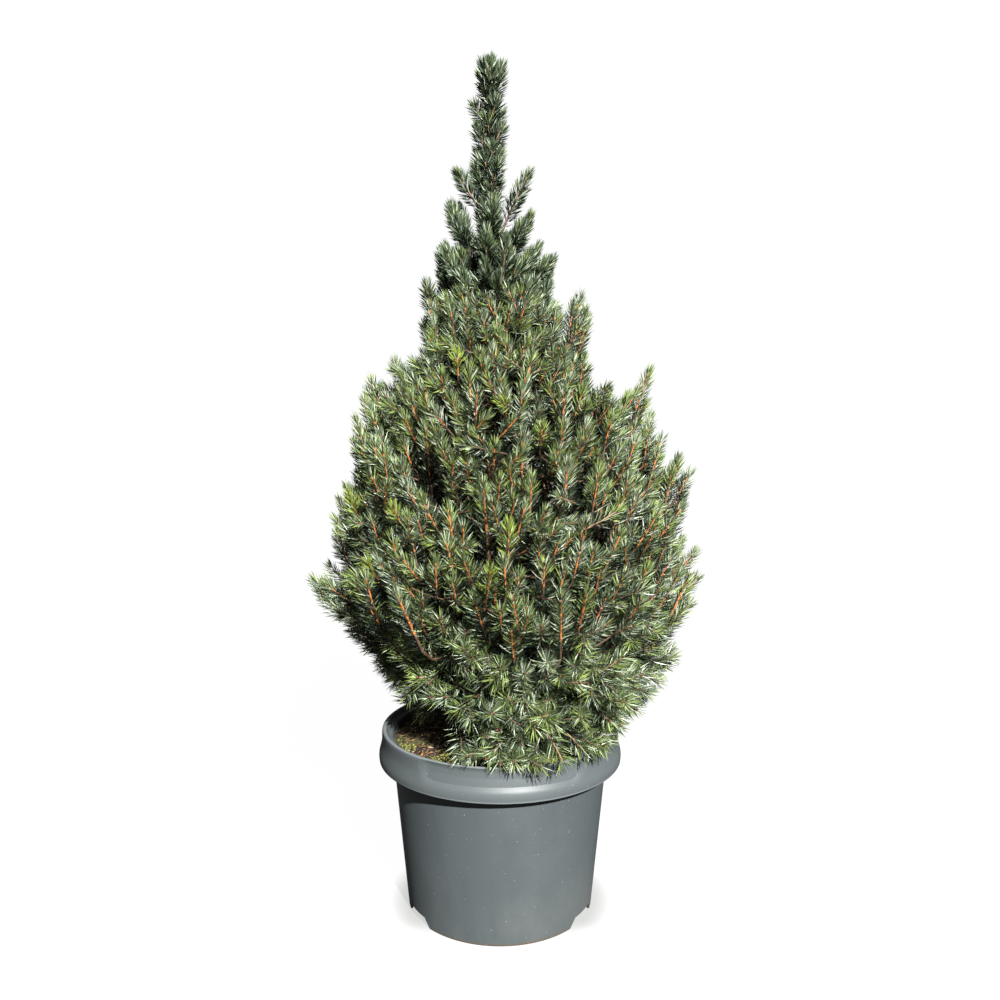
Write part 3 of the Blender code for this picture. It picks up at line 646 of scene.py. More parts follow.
def finerShoots(area):
    # first round the proud shoots, then over the pot's rim, then all over the crown
    rng = random.Random(shoots["finerSeed"])
    beside = shoots["roundProud"]
    for degrees, height, reach in shoots["proud"]:
        reach -= shoots["pastTip"]
        least, most = beside["drop"]
        most = min(most, beside["footDrop"] + (height - beside["lowest"]) * beside["dropRise"])
        inward = beside["inwardLow" if height < beside["lowBelow"] else "inwardHigh"]
        spread = "drooping" if height < beside["droopBelow"] else "upright"
        for number in range(beside["count"]):
            # the first of them ends where the proud one does
            azimuth = math.radians(degrees + rng.uniform(-beside["turn"], beside["turn"]) * (number > 0))
            drop = rng.uniform(least, most) * (number > 0)
            tip = outward(azimuth) * (reach - drop * rng.uniform(*inward)) + zAxis * (height - drop)
            if tip.z > beside["lowest"]:
                yield finerShoot(tip, azimuth, rng, spread)
    rim = shoots["overRim"]
    for _ in range(rim["count"]):
        azimuth = rng.uniform(-math.pi, math.pi)
        height = rng.uniform(*rim["height"])
        tip = crownPoint(height, azimuth, rng.uniform(*rim["share"]) * reachShare(height, azimuth))
        if height > crownFoot(azimuth) - rim["below"]:
            yield finerShoot(tip, azimuth, rng, "drooping")
    for number in range(shoots["finer"]):
        height, azimuth = target(number + shoots["first"], area)
        third = number % 3 == 0
        if not crownFoot(azimuth) < height < shoots["finerTop"] + shoots["thinTop"] * third:
            continue
        if third and height < shoots["innerTop"]:
            tip = crownPoint(height, azimuth, rng.uniform(*shoots["finerInner"]))
            yield finerShoot(tip, azimuth, rng, "spreading", True)
        else:
            share = rng.uniform(*shoots["finerOuter"]) * reachShare(height, azimuth)
            tip = crownPoint(height, azimuth, share)
            spread = "upright" if rng.random() < shoots["uprightPart"] else "spreading"
            yield finerShoot(tip, azimuth, rng, spread)


def shootLine(start, leave, shoot):
    # a curve from the fork to the foot of the shoot, and the nearly straight shoot
    way, length, finer = shoot["way"], shoot["length"], shoot["finer"]
    tip = shoot["tip"] - way * shoots["brush"]
    footWay = (way - zAxis * shoots["bow"] * way.z).normalized() if finer else way
    foot = tip - (way + footWay) / 2 * (length - shoots["brush"])
    reach = (foot - start).length
    steps = shoots["finerSteps" if finer else "curveSteps"]
    curve = hermite(start, leave * reach, foot, footWay * reach * shoots["footPull"], steps)
    steps = shoots["finerSteps" if finer else "shootSteps"]
    reach = (tip - foot).length
    return curve + hermite(foot, footWay * reach, tip, way * reach, steps)[1:]


def joinTwig(mass, shoot):
    # a twig to this tip from the best place on the mass's twigs, or None where none has room
    tip, way, finer = shoot["tip"], shoot["way"], shoot["finer"]
    space = mass["space"]
    closest = shoots["closestTips"] + shoots["tipSpread"] * between(crown["rows"], tip.z, 1)
    if finer:
        closest = shoots["closestFiner"]
    foot = tip - way * shoot["length"]
    forks = []
    for parent in mass["twigs"]:
        if (parent["tip"] - tip).length < closest:
            return None
        line = parent["points"]
        for i in range(1, len(line) - 1):
            along = parent["ways"][i]
            toFoot = foot - line[i]
            length = toFoot.length
            bend = 2 - (along + way).dot(toFoot) / max(length, 1e-6)
            if length > shoots["shortestTwig"]:
                forks.append((length * (1 + shoots["bendCost"] * bend), len(forks), line[i], along, toFoot))
    for _, _, start, along, toFoot in sorted(forks)[: shoots["forksTried"]]:
        leave = (along + toFoot.normalized() * shoots["forkTurn"]).normalized()
        points = shootLine(start, leave, shoot)
        if finer:
            fits = all(space.clear(point, shoots["finerClearance"]) for point in points[2:])
        else:
            fits = all(space.holds(point) for point in points[2:])
        if fits:
            return makeTwig(points, shoots["finerRadii" if finer else "twigRadii"], shoot)
    return None


def makeTwig(points, radii, shoot):
    last = len(points) - 1
    ways = [(points[min(i + 1, last)] - points[max(i - 1, 0)]).normalized() for i in range(last + 1)]
    needled = shoot["length"] - shoots["brush"]
    return shoot | {"points": points, "ways": ways, "radii": radii, "needled": needled}


def growStem(mass):
    # the first twig of a mass, which the others fork from
    space, entry = mass["space"], mass["entry"]
    tip = space.settled(Vector(spire["tips"].get(mass["name"], mass["tip"])))
    way = shootDirection(tip.z, mass["azimuth"], random.Random(mass["name"]), shoots["upright"])
    length = space.room(tip, way, min(shoots["length"], (tip - entry).length * shoots["stemShare"]))
    if mass["name"] in spire["tips"]:
        way = (tip - entry).normalized()
    leader = mass["name"] == "foliage_leader"
    stem = shootOf(tip, zAxis if leader else way, length, False)
    slim = mass["tier"]["name"] in ("neck", "spire")
    points = shootLine(entry, mass["entryWay"], stem)
    twig = makeTwig(points, shoots["twigRadii" if slim else "stemRadii"], stem)
    if leader:
        twig["needled"] = shoots["leaderLength"]
    return twig


def growMasses(masses):
    for mass in masses:
        mass["twigs"] = [growStem(mass)]
    area = crownArea()
    for shoot in chain(firstShoots(area), finerShoots(area)):
        middle = shoot["tip"] - shoot["way"] * shoots["length"] / 2
        mass = min(masses, key=lambda m: (m["heart"] - middle).length)
        if not shoot["finer"]:
            shoot["tip"] = mass["space"].settled(shoot["tip"])
            shoot["length"] = mass["space"].room(shoot["tip"], shoot["way"], shoot["length"])
        twig = joinTwig(mass, shoot)
        if twig:
            mass["twigs"].append(twig)
    masses[-1]["twigs"] += spireShoots()


def spireShoots():
    # short shoots that climb the leading stem, one after another round it
    rng = random.Random(spire["seed"])
    found = []
    for azimuth, footHeight, tipHeight, reach, beside in spire["tufts"]:
        start = trunkAxis(footHeight)
        tip = start + outward(math.radians(azimuth)) * reach + zAxis * (tipHeight - footHeight)
        found.append((start, tip))
        for _ in range(beside):
            fork = start.lerp(tip, rng.uniform(*spire["besideFork"]))
            spread = spire["besideSpread"]
            aside = Vector([rng.uniform(-spread, spread) for _ in range(3)])
            found.append((fork, start.lerp(tip, rng.uniform(*spire["besideTip"])) + aside))
    for number in range(int((spire["to"] - spire["from"]) / spire["every"])):
        height = spire["from"] + spire["every"] * number
        start = trunkAxis(min(height, trunk["tip"]))
        start.z = height
        tilt = math.radians(rng.uniform(*spire["offUpright"]))
        length = rng.uniform(*spire["length"])
        if height > spire["bluntFrom"]:
            tilt *= spire["bluntTilt"]
            length = max(length, spire["bluntTop"] - height)
        way = outward(number * goldenAngle) * math.sin(tilt) + zAxis * math.cos(tilt)
        found.append((start, start + way * length))
    made = []
    for start, tip in found:
        way = (tip - start).normalized()
        length = (tip - start).length
        low, high = sloped(way, -spire["footBow"]), sloped(way, spire["tipBow"])
        end = tip - way * shoots["brush"] * 0.5
        points = hermite(start, low * length, end, high * length, spire["steps"])
        made.append(makeTwig(points, shoots["finerRadii"], shootOf(tip, way, length, True)))
    return made


trunkLine = trunkLimb()
masses = planMasses()
limbs = [trunkLine]
boughLines = {}
for mass in masses:
    if mass["tier"]["bough"]:
        line = boughLimb(mass)
        limbs.append(line)
        boughLines[mass["name"].replace("foliage", "bough")] = line
        mass["entryWay"] = (line[-1][0] - line[-2][0]).normalized()
        mass["entry"] = line[-1][0] + mass["entryWay"] * gap
for mass in masses:
    others = [other["heart"] for other in masses if other is not mass]
    mass["space"] = Space(mass["heart"], others, limbs)
growMasses(masses)
print("shoots grown:", sum(len(mass["twigs"]) for mass in masses))


needles = {
    "length": 0.0136,
    "lengths": (0.84, 1.08),  # shares of it
    "width": 0.00096,
    "middle": 0.52,  # where a needle is widest
    "spacing": 0.00029,  # along a shoot
    "innerSpacing": 0.0008,
    "spireSpacing": 0.00016,
    "spireWidth": 0.00128,
    "spireFrom": 0.66,
    "crowding": 0.85,  # below 1, the needles stand closer together towards the tip
    "oldSpacing": 0.0036,  # along the older wood behind it
    "oldWidth": 0.0018,
    "oldStand": 72.0,
    "oldPart": 0.8,
    "fewestOld": 4,
    "mostNeedled": (0.9, 0.96),  # of a source's and of a finer shoot
    # low shoots hold longer needles that stand open round their tips: height, share of length, least angle
    "open": ((0.27, 1.40, 50), (0.34, 1.20, 38), (0.42, 1.0, 0)),
    # angle from the shoot in degrees and share of the full length, from the shoot's foot to its tip
    "stand": ((0.0, 68, 0.60), (0.1, 62, 0.95), (0.5, 54, 1.0), (0.75, 42, 0.98), (1.0, 18, 0.78)),
    "standSpread": 6.0,
    "turnSpread": 0.35,
    "sunk": (0.8, 0.6),  # share of the radius at which a needle roots, at the foot and at the tip
    "sweep": 0.26,  # how far a needle's tip bends on along the shoot
    "lift": 0.16,  # how far it bends up on a shoot that lies flat
    "tipBend": 0.8,
    "tipReach": 0.96,
    "tipFrom": 0.62,  # where along a shoot the younger needles of its tip start
    "shadedFoot": 0.55,  # the most of a shoot, from its foot, whose needles may take the deep painted shade
    "bluishFrom": 0.60,
    "bluishParts": (0.42, 0.55),  # below and above that height
    "frostedPart": 0.10,
    "outmost": 1.03,  # share of the way out of the places below
    "roughness": 0.34,
    "mostTriangles": 190000,
}
# in the order in which a shoot's shares name them
needleColours = {
    # deepShade: older needles darkened to near black, a painted shade for the crown's inside and the feet of
    # shoots
    "deepShade": (0.011, 0.019, 0.011),
    "green": (0.116, 0.160, 0.060),
    "blue": (0.114, 0.156, 0.098),
    # paleAndHighlight: the needles' waxy pale bands, and also a painted highlight
    "paleAndHighlight": (0.480, 0.550, 0.390),
    "bright": (0.260, 0.345, 0.090),
    "fresh": (0.290, 0.370, 0.058),
}
# how the needles of a shoot share the tones: first those of its body, then those of its tip
tonings = {
    # the inner shoots are mostly in the deep painted shade
    "inner": ((0.80, 0.16, 0.04, 0, 0, 0), (0.60, 0.30, 0.10, 0, 0, 0)),
    "plain": ((0.38, 0.30, 0.11, 0.16, 0.05, 0), (0.07, 0.31, 0.08, 0.17, 0.37, 0)),
    "teal": ((0.26, 0.16, 0.42, 0.16, 0, 0), (0.14, 0.20, 0.44, 0.18, 0.04, 0)),
    "bluish": ((0.37, 0.12, 0.29, 0.21, 0.01, 0), (0.08, 0.24, 0.31, 0.20, 0.17, 0)),
    "frosted": ((0.08, 0.12, 0.34, 0.46, 0, 0), (0.04, 0.12, 0.30, 0.44, 0.10, 0)),
    "fresh": ((0.08, 0.36, 0.12, 0.06, 0.30, 0.08), (0, 0.06, 0.02, 0.04, 0.26, 0.62)),
}
# the shoots with the freshest growth, and those whose needles show their pale bands, partly a painted
# highlight: azimuth and height
freshPlaces = (
    (-115, 0.594), (-85, 0.543), (-72, 0.513), (-121, 0.505), (-166, 0.452), (-131, 0.441),
    (-89, 0.442), (-54, 0.473), (-139, 0.391), (-89, 0.394), (60, 0.52), (120, 0.45), (95, 0.36), (20, 0.40),
)  # fmt: skip
frostedPlaces = ((-81, 0.305), (-84, 0.29), (-53, 0.326), (-48, 0.34), (100, 0.31))


def lineArrays(points):
    line = np.array([tuple(point) for point in points])
    lengths = np.concatenate([[0.0], np.cumsum(np.linalg.norm(np.diff(line, axis=0), axis=1))])
    ways = np.gradient(line, lengths, axis=0)
    return line, lengths, unit(ways)


def unit(vectors):
    return vectors / np.linalg.norm(vectors, axis=1, keepdims=True)


def readAlong(values, lengths, at):
    return np.stack([np.interp(at, lengths, values[:, axis]) for axis in range(3)], axis=1)


def sidesOf(ways):
    # two directions across each way, turned as little as can be from one to the next
    mean = np.abs(ways.mean(axis=0))
    reference = np.eye(3)[int(mean.argmin())]
    across = unit(reference - ways * (ways @ reference)[:, None])
    return across, np.cross(ways, across)


def needleArrays(line, lengths, ways, at, radius, stand, width, rng):
    # four points for every needle, a slim blade turned any way about its length
    count = len(at)
    roots = readAlong(line, lengths, at)
    along = unit(readAlong(ways, lengths, at))
    across, cross = sidesOf(along)
    turn = np.arange(count) * goldenAngle + rng.uniform(0, 2 * math.pi)
    turn = turn + rng.normal(0, needles["turnSpread"], count)
    side = across * np.cos(turn)[:, None] + cross * np.sin(turn)[:, None]
    angle = np.radians(stand[0] + rng.normal(0, needles["standSpread"], count))[:, None]
    length = (needles["length"] * stand[1] * rng.uniform(*needles["lengths"], count))[:, None]
    way = along * np.cos(angle) + side * np.sin(angle)
    flat = (1 - np.abs(along[:, 2]))[:, None]
    bend = along * needles["sweep"] + np.array(zAxis) * needles["lift"] * flat
    roots = roots + side * radius[:, None] * needles["sunk"][0]
    tip = roots + (way + bend * needles["tipBend"]) * length * needles["tipReach"]
    middle = roots + way * length * needles["middle"] + bend * length * needles["middle"] ** 2
    flatWay = unit(np.cross(way, along) + 1e-6)
    upWay = np.cross(unit(way), flatWay)
    turn = rng.uniform(0, math.pi, count)[:, None]
    half = (flatWay * np.cos(turn) + upWay * np.sin(turn)) * width / 2
    return np.stack([roots, middle - half, middle + half, tip], axis=1)


def growNeedles(masses):
    # every shoot's needles, kept apart by tone
    made = {tone: [] for tone in needleColours}
    for mass in masses:
        rng = np.random.default_rng(sum(map(ord, mass["name"])))
        for twig in mass["twigs"]:
            line, lengths, ways = lineArrays(twig["points"])
            total, height = lengths[-1], twig["tip"].z
            needled = min(twig["needled"], total * needles["mostNeedled"][twig["finer"]])
            spacing, width = needles["spacing"], needles["width"]
            if twig["inner"]:
                spacing, width = needles["innerSpacing"], needles["oldWidth"]
            elif height > needles["spireFrom"]:
                spacing, width = needles["spireSpacing"], needles["spireWidth"]
            count = int(needled / spacing)
            share = ((np.arange(count) + rng.uniform(0, 1, count)) / count) ** needles["crowding"]
            places, angles, reaches = zip(*needles["stand"], strict=True)
            stand = (
                np.maximum(np.interp(share, places, angles), between(needles["open"], height, 2)),
                np.interp(share, places, reaches) * between(needles["open"], height, 1),
            )
            sunk = [radius * part for radius, part in zip(twig["radii"], needles["sunk"], strict=True)]
            radius = np.interp(share, (0, 1), sunk)
            at = total - needled + needled * share
            points = needleArrays(line, lengths, ways, at, radius, stand, width, rng)
            dealTones(made, points, share, toningOf(twig, rng), rng)
            bare = total - needled
            oldCount = int(bare * needles["oldPart"] / needles["oldSpacing"])
            if oldCount >= needles["fewestOld"]:
                share = 1 - needles["oldPart"] + needles["oldPart"] * np.sort(rng.uniform(0, 1, oldCount))
                stand = (np.full(oldCount, needles["oldStand"]), np.full(oldCount, 1.0))
                radius = np.full(oldCount, twig["radii"][0])
                width = needles["oldWidth"]
                points = needleArrays(line, lengths, ways, bare * share, radius, stand, width, rng)
                # the older needles along the bare wood take the inner tones, mostly painted shade
                dealTones(made, points, share * 0, "inner", rng)
    return {tone: np.concatenate(points) for tone, points in made.items()}


def nearestShoots(masses, places):
    # for each place on the crown, the shoot that ends nearest to it
    every = [twig for mass in masses for twig in mass["twigs"] if not twig["inner"]]
    for degrees, height in places:
        place = crownPoint(height, math.radians(degrees), needles["outmost"])
        yield min(every, key=lambda twig: (twig["tip"] - place).length)


def toningOf(twig, rng):
    if "toning" in twig:
        return twig["toning"]
    if twig["inner"]:
        return "inner"
    draw = rng.uniform()
    height = twig["tip"].z
    if height > needles["spireFrom"]:
        return "teal"
    upper = height > needles["bluishFrom"]
    if draw < needles["frostedPart"] and not upper:
        return "frosted"
    return "bluish" if draw < needles["bluishParts"][upper] else "plain"


def dealTones(made, points, share, toning, rng):
    draw = rng.uniform(0, 1, len(points))
    body, tip = (np.searchsorted(np.cumsum(shares), draw) for shares in tonings[toning])
    dealt = np.where(share > needles["tipFrom"], tip, body)
    # the foot of a shoot is its oldest part, darkened with painted shade
    dealt = np.where(rng.uniform(0, needles["shadedFoot"], len(points)) > share, 0, dealt)
    dealt = np.minimum(dealt, len(made) - 1)
    for number, found in enumerate(made.values()):
        found.append(points[dealt == number])


for toning, places in (("fresh", freshPlaces), ("frosted", frostedPlaces)):
    for twig in nearestShoots(masses, places):
        twig["toning"] = toning
# the first piece stands for all the masses of foliage
replaced = [mass["name"] for mass in masses]
for tone, points in growNeedles(masses).items():
    finish = Finish("needle_" + tone, needleColours[tone], needles["roughness"])
    perPiece = needles["mostTriangles"] // 2
    for start in range(0, len(points), perPiece):
        chunk = points[start : start + perPiece]
        name = f"needles_{tone}_{start // perPiece + 1}"
        triangles = repeated([(0, 1, 2), (2, 1, 3)], len(chunk), 4)
        mesh = meshFromArrays(name, chunk.reshape(-1, 3), triangles)
        finishPiece(name, mesh, [finish.material], "needles", *replaced)
        replaced = []
    print(tone, "needles:", len(points))

twigs = {
    "seed": 3,
    "sides": 5,
    "finerSides": 4,
    "youngShare": 0.70,  # of a shoot, from its tip back
    "youngRise": 0.62,  # a shoot that lies flatter has no orange bark
    "youngHeights": (0.34, 0.66),
    "youngMix": (0.62, 0.23, 0.15),  # how much of it is orange, rusty and old
    "knobGap": 0.0026,
    "knobs": 0.28,  # share of the radius
    "tanPart": 0.22,  # of the other twigs
    "roughness": 0.65,
    # the tone that a ring is dealt is its place in this list
    "barks": {
        "old": (0.13, 0.078, 0.045),
        "young": (0.58, 0.200, 0.052),
        "rust": (0.30, 0.088, 0.030),
        "tan": (0.34, 0.20, 0.11),
    },
}


def tubeFaces(levels, sides):
    # the walls between rings of vertices, two triangles to a side, and the cap over the first ring
    corners = np.arange(sides)
    level = np.arange(levels - 1)[:, None] * sides
    here, side = level + corners, level + (corners + 1) % sides
    walls = np.stack([here, side, side + sides, here, side + sides, here + sides], axis=-1)
    cap = [(0, i + 1, i) for i in range(1, sides - 1)]
    return np.concatenate([walls.reshape(-1, 3), cap])


def bareRings(twig, rng):
    # where the rings of a twig lie, how wide they are, and the bark's tone after each of them
    line, lengths, ways = lineArrays(twig["points"])
    radius = np.linspace(*twig["radii"], len(line))
    lowest, highest = twigs["youngHeights"]
    upright = twig["ways"][-1].z > twigs["youngRise"] and not twig["inner"]
    if not upright or twig["tip"].z < lowest:
        tone = 3 if rng.uniform() < twigs["tanPart"] else 0
        return line, ways, radius, np.full(len(line), tone)
    youngAt = lengths[-1] - twig["needled"] * twigs["youngShare"]
    old = lengths[lengths < youngAt - 1e-4]
    at = np.concatenate([old, np.arange(youngAt, lengths[-1], twigs["knobGap"])])
    knobby = 1 + twigs["knobs"] * rng.uniform(-1, 1, len(at)) * (at >= youngAt)
    young = rng.choice((1, 2, 0), len(at), p=twigs["youngMix"])
    if twig["tip"].z > highest:
        young = np.where(young == 1, 3, 0)
    tones = np.where(at >= youngAt, young, 0)
    radius = np.interp(at, lengths, radius) * knobby
    return readAlong(line, lengths, at), unit(readAlong(ways, lengths, at)), radius, tones


def growTwigs(masses):
    # tapering closed tubes, the knobbly young ones apart from the rest
    rng = np.random.default_rng(twigs["seed"])
    grown = {"twigs": [], "young_twigs": []}
    for twig in chain.from_iterable(mass["twigs"] for mass in masses):
        line, ways, radius, tones = bareRings(twig, rng)
        sides = twigs["finerSides" if twig["finer"] else "sides"]
        across, cross = sidesOf(ways)
        turn = 2 * math.pi * np.arange(sides) / sides
        rings = [line + (across * math.cos(a) + cross * math.sin(a)) * radius[:, None] for a in turn]
        last = (len(line) - 1) * sides
        topCap = [(last, last + i, last + i + 1) for i in range(1, sides - 1)]
        faces = np.concatenate([tubeFaces(len(line), sides), topCap])
        walls = np.repeat(tones[:-1], sides * 2)
        dealt = np.concatenate([walls, np.zeros(len(faces) - len(walls), int)])
        piece = grown["young_twigs" if (tones == 1).any() else "twigs"]
        piece.append((np.stack(rings, axis=1).reshape(-1, 3), faces, dealt))
    return grown


barks, roughness = twigs["barks"].items(), twigs["roughness"]
twigBarks = [Finish("twig_" + name, colour, roughness).material for name, colour in barks]
for name, tubes in growTwigs(masses).items():
    points, faces, dealt = zip(*tubes, strict=True)
    starts = np.cumsum([0] + [len(tube) for tube in points[:-1]])
    triangles = np.concatenate([tube + first for tube, first in zip(faces, starts, strict=True)])
    mesh = meshFromArrays(name, np.concatenate(points), triangles, np.concatenate(dealt))
    finishPiece(name, mesh, twigBarks, "bark")
    print(name, "triangles:", len(triangles))

buds = {
    "seed": 9,
    "length": 0.0042,
    "profile": ((0.0, 0.0007), (0.35, 0.0011), (0.72, 0.0008)),  # share of the length, and radius
    "sides": 5,
    "share": 0.65,  # of the shoots
    "colour": (0.170, 0.056, 0.030),
    "roughness": 0.5,
}


def growBuds(masses):
    rng = random.Random(buds["seed"])
    budded = [twig for mass in masses for twig in mass["twigs"] if rng.random() < buds["share"]]
    places = np.array([tuple(twig["points"][-1]) for twig in budded])
    ways = np.array([tuple(twig["ways"][-1]) for twig in budded])
    reference = np.where(np.abs(ways[:, 2:]) > 0.9, [[1.0, 0, 0]], [[0, 0, 1.0]])
    across = unit(np.cross(ways, reference))
    cross = np.cross(ways, across)
    sides = buds["sides"]
    rings = []
    for share, radius in buds["profile"]:
        for corner in range(sides):
            angle = 2 * math.pi * corner / sides
            ringWay = across * math.cos(angle) + cross * math.sin(angle)
            rings.append(places + ways * share * buds["length"] + ringWay * radius)
    rings.append(places + ways * buds["length"])
    levels = len(buds["profile"])
    last, point = (levels - 1) * sides, levels * sides
    faces = [(last + i, last + (i + 1) % sides, point) for i in range(sides)]
    faces = np.concatenate([tubeFaces(levels, sides), faces])
    return np.stack(rings, axis=1).reshape(-1, 3), repeated(faces, len(places), point + 1)


budMesh = meshFromArrays("buds", *growBuds(masses))
budFinish = Finish("bud", buds["colour"], buds["roughness"])
finishPiece("buds", budMesh, [budFinish.material], "bark")
print("buds made")

bark = {
    "trunkSides": 36,
    "boughSides": 14,
    "sharpAngle": 60,
    "ringGap": 0.0022,
    "fewestRings": 6,
    "relief": 0.0007,
    "reliefRadius": 0.009,  # thinner limbs have less of it
    "ridges": 260.0,  # per metre round the limb
    "flakes": 90.0,  # per metre along it
    # a noise's scale, detail, stretch and roughness
    "grain": (160.0, 5.0, (1, 1, 0.35), 0.65),
    "plates": (55.0, 3.0, (1, 1, 0.6), 0.6),
    "colour": (0.155, 0.100, 0.066),
    "crackColour": (0.050, 0.030, 0.020),
    "flakeColour": (0.270, 0.200, 0.145),
}


def nextVert(vert, fresh):
    # the vertex that an extrusion drew out of this one
    others = (edge.other_vert(vert) for edge in vert.link_edges)
    return next(other for other in others if other in fresh)


def barkLimb(name, limb, sides, leave):
    # a ring of vertices, extruded along the limb, with the relief pushed in and out
    line, lengths, ways = lineArrays([centre for centre, _ in limb])
    ways[0] = leave
    count = max(bark["fewestRings"], int(lengths[-1] / bark["ringGap"]))
    at = np.linspace(0, lengths[-1], count)
    places = readAlong(line, lengths, at)
    across, cross = sidesOf(unit(readAlong(ways, lengths, at)))
    widths = np.interp(at, lengths, [radius for _, radius in limb])
    bm = bmesh.new()
    ring = bmesh.ops.create_circle(bm, cap_ends=False, segments=sides, radius=1.0)["verts"]
    order = sorted(ring, key=lambda vert: math.atan2(vert.co.y, vert.co.x))
    angles = [math.atan2(vert.co.y, vert.co.x) for vert in order]
    edges = list(bm.edges)
    first = order
    for level in range(count):
        if level:
            made = bmesh.ops.extrude_edge_only(bm, edges=edges)["geom"]
            fresh = {part for part in made if isinstance(part, bmesh.types.BMVert)}
            order = [nextVert(vert, fresh) for vert in order]
            edges = [part for part in made if isinstance(part, bmesh.types.BMEdge)]
            edges = [edge for edge in edges if all(vert in fresh for vert in edge.verts)]
        place, out, over = Vector(places[level]), Vector(across[level]), Vector(cross[level])
        fade = min(1.0, widths[level] / bark["reliefRadius"])
        for vert, angle in zip(order, angles, strict=True):
            way = out * math.cos(angle) + over * math.sin(angle)
            sample = way * widths[level] * bark["ridges"] + place * bark["flakes"]
            relief = abs(noise.fractal(sample, 0.8, 2.1, 3)) * bark["relief"] * fade
            vert.co = place + way * (widths[level] - relief)
    for end in (first, order):
        bmesh.ops.contextual_create(bm, geom=end)
    bmesh.ops.recalc_face_normals(bm, faces=bm.faces)
    return smoothed(meshOf(bm, name), bark["sharpAngle"])


def barkFinish():
    finish = Finish("bark", bark["colour"], 0.85)
    grain, plates = finish.noise(*bark["grain"]), finish.noise(*bark["plates"])
    cracked = finish.blend(finish.ramp(grain, 0.36, 0.52), bark["crackColour"], bark["colour"])
    finish.layered(cracked, [(finish.ramp(plates, 0.54, 0.66), 0.7, bark["flakeColour"])])
    finish.set("Roughness", 0.75 + 0.2 * grain)
    finish.bump(grain, 0.0008, 0.7)
    return finish.material


barkMaterial = barkFinish()
trunkMesh = barkLimb("trunk_bark", trunkLine, bark["trunkSides"], tuple(zAxis))
finishPiece("trunk_bark", trunkMesh, [barkMaterial], "bark", "trunk")
for mass in masses:
    if mass["tier"]["bough"]:
        name = mass["name"].replace("foliage", "bough")
        mesh = barkLimb(name + "_bark", boughLines[name], bark["boughSides"], tuple(mass["leave"]))
        finishPiece(name + "_bark", mesh, [barkMaterial], "bark", name)
print("trunk and boughs made")

collar = {
    "fieldCentre": -89.0,
    "fieldHalfWidth": 40.0,
    "fieldEdge": 5.0,  # degrees over which its end slopes
    "fieldDepth": 0.0022,
    "fieldFoot": 0.1735,
    "fieldCorner": 9.0,  # degrees over which its lower corner rounds off
    "fieldCornerRise": 0.012,
    "fieldStep": 0.004,  # height over which its foot and its top slope
    "faceFrom": 0.0036,  # how far inside the collar's radius its face starts
    "faceAbove": 0.002,
}
notches = {
    "azimuths": (-150.0, -30.0, 90.0),
    "halfWidth": 13.5,  # degrees
    "height": 0.0100,
    "corner": 4.5,  # degrees over which the notch runs down to the floor
    "endShare": 0.04,  # of the height, at its ends
    "steps": 12,
    "past": 0.01,  # how far the cutter stands past the foot's ring
}
potColours = {
    "plain": (0.078, 0.093, 0.096),
    # wornAndSheen is real wear in the clouds, and over the whole collar it is a painted sheen
    "wornAndSheen": (0.118, 0.133, 0.132),
    "shade": (0.060, 0.072, 0.077),
    # edge: painted highlights along the collar's lip and top edges, with some wear
    "edge": (0.250, 0.275, 0.280),
    "dust": (0.240, 0.215, 0.175),
    "dirt": (0.110, 0.075, 0.048),
    "speck": (0.560, 0.570, 0.560),
}
# scale, detail, stretch and roughness of the noises: runs down the wall, clouds of wear, and finer ones
potNoises = {
    "runs": (70.0, 4.0, (1, 1, 0.06), 0.6),
    "clouds": (14.0, 4.0, (1, 1, 0.7), 0.6),
    "fine": (420.0, 2.0),
    "specks": (620.0, 1.0),
    "scratches": (90.0, 5.0, (0.25, 0.25, 2.2), 0.7),
}
# heights between which the dusty foot, the dirty rim under it, the collar's painted sheen and the painted
# highlights with wear on its two edges fade in or out
potHeights = {
    "low": (0.0, 0.075),
    "rim": (0.0006, 0.0042),
    "collar": (0.158, 0.163),
    "lipWearAndHighlight": (0.1628, 0.1640),
    "topWearAndHighlight": (0.1944, 0.1955),
}


def arc(centre, radius, start, end, steps):
    # points on part of a circle, in the section of the pot
    points = []
    for step in range(steps + 1):
        angle = math.radians(start + (end - start) * step / steps)
        points.append((centre[0] + radius * math.cos(angle), centre[1] + radius * math.sin(angle)))
    return points


def even(start, end, steps):
    # the points between two ends, without the ends
    shares = [step / steps for step in range(1, steps)]
    return [tuple(Vector(start).lerp(Vector(end), share)) for share in shares]


